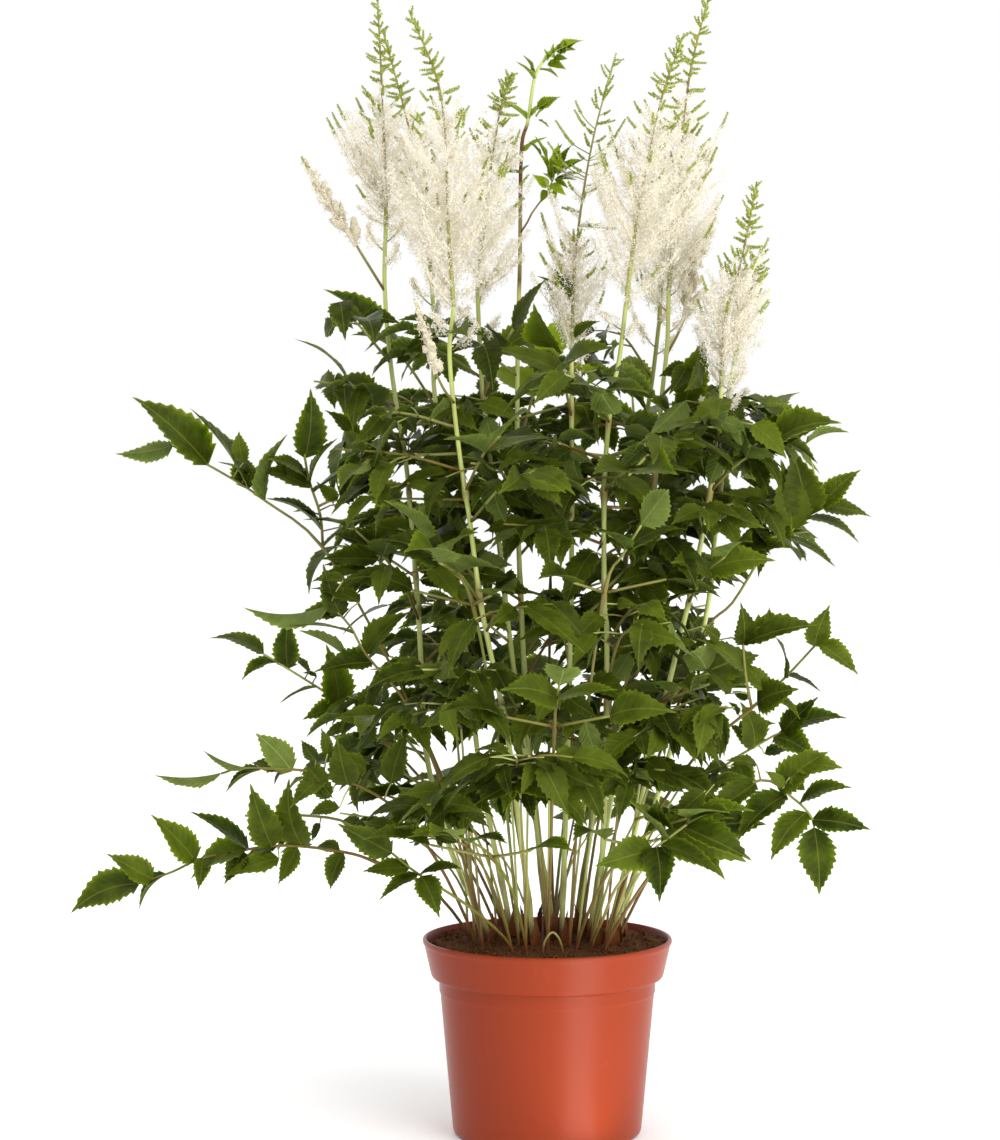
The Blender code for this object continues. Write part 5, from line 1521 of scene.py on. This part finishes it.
def add_crown(pieces, lines):
    """Red-brown sheaths round the feet of the stems, and a looped stalk between them."""
    chance = random.Random(29)
    for node in STEMS:
        foot = lines[node][0][1]
        for sheath in range(SHEATHS):
            out = level_way(sheath * GOLDEN + chance.uniform(-0.4, 0.4))
            base = foot + out * STEM_RADIUS * 1.2 - UP * 8 * MM
            tip = base + UP * chance.uniform(14, 30) * MM + out * chance.uniform(0.5, 5) * MM
            add_leaflet(pieces[node], base, tip, out, chance, 0.15, 1.0, PLAIN_LEAFLET)
            pieces[node].recolour(chance.uniform(0.0, 0.6))
    loop = smooth([Vector(place) * MM for place in LOOP], 4)
    add_stalk(pieces["flower_stem_3"], loop, 0.9 * MM, 0.9 * MM, 6, ((0, 1), (0.3, 0.1)), pale=1.0)


class Graph:
    """A Principled material, kept under its name in MATERIALS, and short ways to add nodes to it."""

    def __init__(self, name, **values):
        MATERIALS[name] = material = bpy.data.materials.new(name)
        material.use_nodes = True
        self.tree = material.node_tree
        self.shader = self.tree.nodes["Principled BSDF"]
        for socket, value in values.items():
            self.plug(value, self.shader.inputs[socket.replace("_", " ")])

    def plug(self, value, socket):
        if isinstance(value, bpy.types.NodeSocket):
            self.tree.links.new(value, socket)
        else:
            socket.default_value = value

    def colour(self, value):
        self.plug(value, self.shader.inputs["Base Color"])

    def add(self, kind, inputs=(), **settings):
        node = self.tree.nodes.new("ShaderNode" + kind)
        for key, value in settings.items():
            setattr(node, key, value)
        for socket, value in dict(inputs).items():
            self.plug(value, node.inputs[socket])
        return node

    def math(self, operation, first, second=0.0):
        return self.add("Math", {0: first, 1: second}, operation=operation).outputs[0]

    def times(self, first, second):
        return self.math("MULTIPLY", first, second)

    def plus(self, first, second):
        return self.math("ADD", first, second)

    def less(self, first, second):
        return self.math("SUBTRACT", first, second)

    def mix(self, share, first, second):
        return self.add("Mix", {0: share, 6: first, 7: second}, data_type="RGBA").outputs[2]

    def ramp(self, value, low, high):
        return self.add("MapRange", {0: value, 1: low, 2: high}, interpolation_type="SMOOTHSTEP").outputs[0]

    def noise(self, scale, detail=2.0, stretch=1.0):
        """Noise in object space, drawn out along Z where stretch is less than 1."""
        place = self.add("TexCoord").outputs["Object"]
        if stretch != 1.0:
            place = self.add("Mapping", {0: place, "Scale": (1.0, 1.0, stretch)}).outputs[0]
        return self.add("TexNoise", {"Vector": place, "Scale": scale, "Detail": detail}).outputs[0]

    def tone(self):
        return self.add("Attribute", attribute_name="tone").outputs["Fac"]

    def blade(self):
        """A place on a leaf: share of the length, and of the half width. A stalk has its paleness first."""
        return self.add("SeparateXYZ", {0: self.add("UVMap", uv_map="blade").outputs[0]}).outputs

    def bump(self, height, strength, distance):
        node = self.add("Bump", {"Height": height, "Strength": strength, "Distance": distance * MM})
        self.plug(node.outputs[0], self.shader.inputs["Normal"])


def colour(*screen):
    """A screen colour from 0 to 255, as the shader wants it."""
    shares = [value / 255 for value in screen]
    return (*(share / 12.92 if share <= 0.04045 else ((share + 0.055) / 1.055) ** 2.4 for share in shares), 1.0)


def leaf_material(name, dark, bright, young_with_painted_light, vein, vein_share, roughness, relief):
    graph = Graph(name, Roughness=roughness, Specular_IOR_Level=0.05, Subsurface_Weight=0.22,
                  Subsurface_Scale=0.0015, Subsurface_Radius=(0.7, 1.0, 0.15))
    place = graph.blade()
    across = graph.math("ABSOLUTE", place[1])
    # Side veins leave the rib at a slant and curve towards the tip
    slant = graph.plus(graph.times(across, 0.20), graph.times(graph.times(across, across), 0.05))
    turn = graph.math("FRACT", graph.times(graph.less(place[0], slant), TEETH * 0.82))
    off_vein = graph.math("ABSOLUTE", graph.less(turn, 0.5))
    side_vein = graph.ramp(off_vein, 0.10, 0.0)
    rib = graph.ramp(across, 0.055, 0.015)
    veins = graph.math("MAXIMUM", graph.times(side_vein, 0.22), rib)
    mottle = graph.noise(90.0, 3.0)
    patch = graph.noise(420.0)
    share = graph.plus(graph.tone(), graph.times(graph.less(mottle, 0.5), 0.9))
    base = graph.mix(share, dark, bright)
    # Young leaflets: their own paler green, lightened further as painted light shining through the thin blade
    base = graph.mix(graph.ramp(graph.tone(), 0.95, 1.4), base, young_with_painted_light)
    base = graph.mix(graph.times(patch, 0.18), base, dark)
    graph.colour(graph.mix(graph.times(veins, vein_share), base, vein))
    # The blade swells between the side veins and sinks at the rib
    height = graph.plus(graph.ramp(off_vein, 0.0, 0.42), graph.times(graph.noise(1500.0), 0.25))
    graph.bump(graph.less(height, graph.times(rib, 0.8)), relief, 0.6)


def make_materials():
    # The third colour of each leaf face is the young one: a paler green of young leaves, lightened further as
    # painted light shining through them
    leaf_material("leaf_top", colour(35, 41, 9), colour(91, 105, 24), colour(136, 160, 30),
                  colour(116, 132, 42), 0.36, 0.42, 0.22)
    leaf_material("leaf_under", colour(66, 80, 26), colour(114, 128, 62), colour(146, 166, 70),
                  colour(146, 158, 84), 0.5, 0.6, 0.5)

    graph = Graph("stalk", Roughness=0.45, Specular_IOR_Level=0.22)
    pale = graph.blade()[0]
    grain = graph.noise(120.0, stretch=0.12)
    dull = graph.mix(grain, colour(84, 92, 24), colour(128, 138, 50))
    light = graph.mix(grain, colour(172, 188, 76), colour(238, 243, 168))
    red = graph.mix(graph.noise(200.0, stretch=0.2), colour(72, 26, 10), colour(124, 72, 34))
    streaks = graph.times(graph.less(graph.noise(260.0, stretch=0.08), 0.5), 0.25)
    graph.colour(graph.mix(graph.plus(graph.tone(), streaks), graph.mix(pale, dull, light), red))
    graph.bump(graph.noise(900.0, stretch=0.06), 0.25, 0.3)

    graph = Graph("floret", Roughness=0.8, Specular_IOR_Level=0.2, Subsurface_Weight=0.7, Subsurface_Scale=0.002,
                  Subsurface_Radius=(1.0, 0.9, 0.7))
    cream = graph.mix(graph.tone(), colour(228, 218, 192), colour(242, 235, 214))
    graph.colour(graph.mix(graph.times(graph.noise(60.0), 0.25), cream, colour(230, 215, 184)))

    # Side spikes: a cream greyer and darker than the florets', as painted shade standing in for the shade within a
    # cloud of florets that the smooth lumps lack
    graph = Graph("spire", Roughness=0.9, Specular_IOR_Level=0.1)
    graph.colour(graph.mix(graph.tone(), colour(200, 191, 166), colour(228, 221, 200)))

    graph = Graph("bud", Roughness=0.6, Specular_IOR_Level=0.3)
    graph.colour(graph.mix(graph.tone(), colour(116, 130, 34), colour(174, 180, 90)))

    # Draw marks run up the pot, so its gloss is drawn out that way
    graph = Graph("pot", Roughness=0.4, Specular_IOR_Level=0.18, Anisotropic=0.8, Anisotropic_Rotation=0.25)
    graph.plug(graph.add("Tangent", direction_type="RADIAL", axis="Z").outputs[0], graph.shader.inputs["Tangent"])
    shade = graph.noise(9.0, stretch=0.35)
    body = graph.mix(shade, colour(128, 45, 19), colour(140, 53, 25))
    scuff = graph.ramp(graph.noise(70.0, 6.0, 0.5), 0.62, 0.8)
    graph.colour(graph.mix(graph.times(scuff, 0.18), body, colour(164, 76, 44)))
    graph.plug(graph.add("MapRange", {0: shade, 3: 0.37, 4: 0.43}).outputs[0], graph.shader.inputs["Roughness"])
    graph.bump(graph.noise(700.0, 3.0), 0.05, 0.3)

    graph = Graph("soil", Roughness=0.95, Specular_IOR_Level=0.1)
    peat = graph.mix(graph.noise(500.0, 5.0), colour(50, 26, 14), colour(120, 78, 46))
    graph.colour(graph.mix(graph.ramp(graph.noise(1600.0), 0.64, 0.74), peat, colour(156, 114, 80)))
    graph.bump(graph.noise(900.0, 5.0), 0.9, 1.2)

    graph = Graph("floor", Roughness=0.9)
    graph.colour(graph.mix(graph.times(graph.noise(3.0), 0.03), (0.97, 0.97, 0.97, 1.0), (0.95, 0.95, 0.95, 1.0)))


def rounded(profile, radius, steps=4):
    """A profile whose corners are turned into short curves."""
    profile = [Vector(place) for place in profile]
    points = [profile[0]]
    for before, corner, after in zip(profile, profile[1:], profile[2:]):
        near = min(radius, (corner - before).length * 0.45)
        far = min(radius, (after - corner).length * 0.45)
        start = corner + (before - corner).normalized() * near
        end = corner + (after - corner).normalized() * far
        for t in (i / steps for i in range(steps + 1)):
            points.append(start * (1 - t) ** 2 + corner * (2 * t * (1 - t)) + end * t * t)
    return [*points, profile[-1]]


def turned(profile, turns):
    """Vertices and triangles of a body turned about the vertical axis, closed at both ends."""
    angles = np.arange(turns) * FULL_TURN / turns
    rings = [np.stack((radius * np.cos(angles), radius * np.sin(angles), np.full(turns, height)), 1)
             for radius, height in profile]
    middles = np.array([[0.0, 0.0, profile[0][1]], [0.0, 0.0, profile[-1][1]]])
    ring = np.arange(turns)
    after = (ring + 1) % turns
    foot = len(profile) * turns
    last = foot - turns
    ends = [np.stack((after, ring, np.full(turns, foot)), 1),
            np.stack((last + ring, last + after, np.full(turns, foot + 1)), 1)]
    return np.concatenate([*rings, middles]), np.concatenate(tube_walls(len(profile), turns) + ends)


def dress_pot():
    """The pot as one smooth turned shell with its drain holes."""
    profile = (
        (BASE_RADIUS - 6.0 * MM, 0.0),
        (BASE_RADIUS - 2.0 * MM, 0.3 * MM),
        (BASE_RADIUS - 0.5 * MM, 3.0 * MM),
        (BODY_TOP_RADIUS - 0.9 * MM, BAND_FOOT - 14.0 * MM),
        (BODY_TOP_RADIUS - 0.1 * MM, BAND_FOOT - 12.6 * MM),
        (BODY_TOP_RADIUS, BAND_FOOT - STEP_DROP),
        (BAND_FOOT_RADIUS - 1.0 * MM, BAND_FOOT - 1.4 * MM),
        (BAND_FOOT_RADIUS, BAND_FOOT + 1.6 * MM),
        (RIM_RADIUS - 1.2 * MM, POT_HEIGHT - 5.0 * MM),
        (RIM_RADIUS, POT_HEIGHT - 3.4 * MM),
        (RIM_RADIUS, POT_HEIGHT - 1.2 * MM),
        (RIM_RADIUS - 1.0 * MM, POT_HEIGHT),
        (RIM_RADIUS - 2.6 * MM, POT_HEIGHT - 0.2 * MM),
        (RIM_RADIUS - 3.2 * MM, POT_HEIGHT - 2.0 * MM),
        (BAND_FOOT_RADIUS - WALL, BAND_FOOT + 1.2 * MM),
        (BODY_TOP_RADIUS - WALL, BAND_FOOT - STEP_DROP),
        (BASE_RADIUS - 2.6 * MM, WALL + 1.0 * MM),
        (BASE_RADIUS - 5.0 * MM, WALL),
        (DRAIN_RING * 0.4, WALL),
    )
    piece = Piece("pot", "pot", ("pot",))
    piece.add(*turned(rounded(profile, CORNER), POT_TURNS), 0)
    pot = piece.build()
    drains = Piece("drains", "", ())
    for i in range(DRAIN_COUNT):
        low = level_way(FULL_TURN * (i + 0.5) / DRAIN_COUNT) * DRAIN_RING - UP * WALL
        drains.add(*round_tube([low, low + UP * 3 * WALL], DRAIN_RADIUS, DRAIN_SIDES), 0)
    verts, triangles = (np.concatenate([part[i] for part in drains.parts]) for i in (0, 1))
    mesh = bpy.data.meshes.new("drains")
    mesh.from_pydata(verts.tolist(), [], triangles.tolist())
    tool = linked("drains", mesh)
    cut = pot.modifiers.new("drains", "BOOLEAN")
    cut.operation = "DIFFERENCE"
    cut.object = tool
    cut.solver = "EXACT"
    bpy.context.view_layer.update()
    holed = bpy.data.meshes.new_from_object(pot.evaluated_get(bpy.context.evaluated_depsgraph_get()))
    pot.modifiers.clear()
    pot.data = holed
    bpy.data.objects.remove(tool)


def dress_soil():
    """Peat with a crumbly top, and loose crumbs on it."""
    rng = np.random.default_rng(5)
    slack = WALL + SOIL_SLACK
    slope = (RIM_RADIUS - BAND_FOOT_RADIUS) / BAND_HEIGHT
    edge = BAND_FOOT_RADIUS - slack + slope * (SOIL_TOP - BAND_FOOT)
    profile = [
        (BASE_RADIUS - slack - 1.4 * MM, WALL + 1.4 * MM),
        (BODY_TOP_RADIUS - slack, BAND_FOOT - STEP_DROP),
        (BAND_FOOT_RADIUS - slack, BAND_FOOT + 2.2 * MM),
        (edge, SOIL_TOP),
    ]
    top = len(profile) * SOIL_TURNS
    for i in range(1, SOIL_RINGS):
        share = i / SOIL_RINGS
        profile.append((edge * (1 - share), SOIL_TOP + SOIL_RISE + SOIL_CROWN * share ** 0.5))
    verts, triangles = turned(profile, SOIL_TURNS)
    for vert in verts[top:-2]:
        place = Vector(vert)
        vert[2] += (noise.fractal(place * 160, 0.9, 2.1, 4) * 1.6 + noise.noise(place * 45) * 1.6) * MM
    verts[-1, 2] += 1 * MM
    piece = Piece("soil", "soil", ("soil", "stalk"))
    piece.add(verts, triangles, 0)
    reach = np.sqrt(rng.uniform(0.0, 1.0, CRUMBS)) * (edge - 2 * MM)
    turn = rng.uniform(0, FULL_TURN, CRUMBS)
    height = SOIL_TOP + (1.6 + 1.0 * (1 - reach / edge) ** 0.5) * MM
    height = height + rng.uniform(-0.6, 1.4, CRUMBS) * MM
    origins = np.stack((reach * np.cos(turn), reach * np.sin(turn), height), 1)
    directions = rng.normal(size=(CRUMBS, 3))
    directions /= np.linalg.norm(directions, axis=1)[:, None]
    frames = axes_about(directions, rng.uniform(0, 6.3, CRUMBS), rng.uniform(0.5, 1.9, CRUMBS) * MM)
    piece.add(*scattered(*bud_form(), origins, frames), 0)
    piece.build()


# The camera, and a pale floor under the pot
SENSOR = 36.0
LENS = SENSOR * 2.605 / 0.863
CAMERA_AIM = Vector((-0.036, 0.0, 0.43))
FLOOR_REACH = 7.0
FLOOR_SIDES = 96
FLOOR_LEVEL = -0.5 * MM
# Light: the strength of the world, the sun, and lamps with their name, place, what they point at,
# width, height in metres, and watts
WORLD = 1.0
SUN_STRENGTH = 1.0
SUN_ANGLE = math.radians(60)
SUN_FROM = Vector((0.25, -0.55, 0.85))
LIGHTS = (
    ("key", (0.90, -1.20, 0.52), (0.0, 0.0, 0.36), 1.03, 1.0, 15.0),
    ("back", (-0.7, 1.8, 1.5), (0.0, 0.0, 0.45), 1.6, 1.2, 8.0),
)
# Light from the floor by the pot, which its gloss shows as an upright streak: name, distance from
# the pot, width, length in metres, and watts
GLOW_TURN = math.radians(39)
GLOW_FOOT = Vector((0.027, -0.076, 0.002))
GLOWS = (
    ("glow_near", 0.052, 0.050, 0.085, 0.055),
    ("glow_far", 0.215, 0.125, 0.240, 0.40),
)


def looking(way):
    """The rotation of a lamp or a camera that looks that way."""
    return way.to_track_quat("-Z", "Y").to_euler()


def add_light(name, kind, place, rotation, power, **values):
    data = bpy.data.lights.new(name, kind)
    data.energy = power
    for key, value in values.items():
        setattr(data, key, value)
    lamp = linked(name, data)
    lamp.location = place
    lamp.rotation_euler = rotation


def make_stage():
    """A plain pale floor, soft lights and the camera."""
    mesh = bpy.data.meshes.new("floor")
    angles = [FULL_TURN * i / FLOOR_SIDES for i in range(FLOOR_SIDES)]
    mesh.from_pydata([(FLOOR_REACH * math.cos(a), FLOOR_REACH * math.sin(a), FLOOR_LEVEL) for a in angles], [],
                     [tuple(range(FLOOR_SIDES))])
    mesh.materials.append(MATERIALS["floor"])
    floor = linked("floor", mesh)

    world = bpy.data.worlds.new("studio")
    world.use_nodes = True
    background = world.node_tree.nodes["Background"]
    background.inputs["Color"].default_value = (1.0, 1.0, 1.0, 1.0)
    background.inputs["Strength"].default_value = WORLD
    bpy.context.scene.world = world

    for name, place, aim, width, height, power in LIGHTS:
        add_light(name, "AREA", place, looking(Vector(aim) - Vector(place)), power,
                  shape="RECTANGLE", size=width, size_y=height)
    way = Vector((math.sin(GLOW_TURN), -math.cos(GLOW_TURN), 0.0))
    for name, distance, width, length, power in GLOWS:
        add_light(name, "AREA", GLOW_FOOT + way * distance, (math.pi, 0.0, GLOW_TURN), power,
                  shape="RECTANGLE", size=width, size_y=length)
    add_light("sun", "SUN", (0.0, 0.0, 0.0), looking(-SUN_FROM), SUN_STRENGTH, angle=SUN_ANGLE)

    data = bpy.data.cameras.new("camera")
    data.sensor_fit = "VERTICAL"
    data.sensor_height = SENSOR
    data.lens = LENS
    camera = linked("camera", data)
    camera.location = EYE
    camera.rotation_euler = looking(CAMERA_AIM - EYE)
    bpy.context.scene.camera = camera
    bpy.context.scene.view_settings.view_transform = "Standard"


make_materials()
dress_plumes(dress_leaves())
dress_pot()
dress_soil()
make_stage()
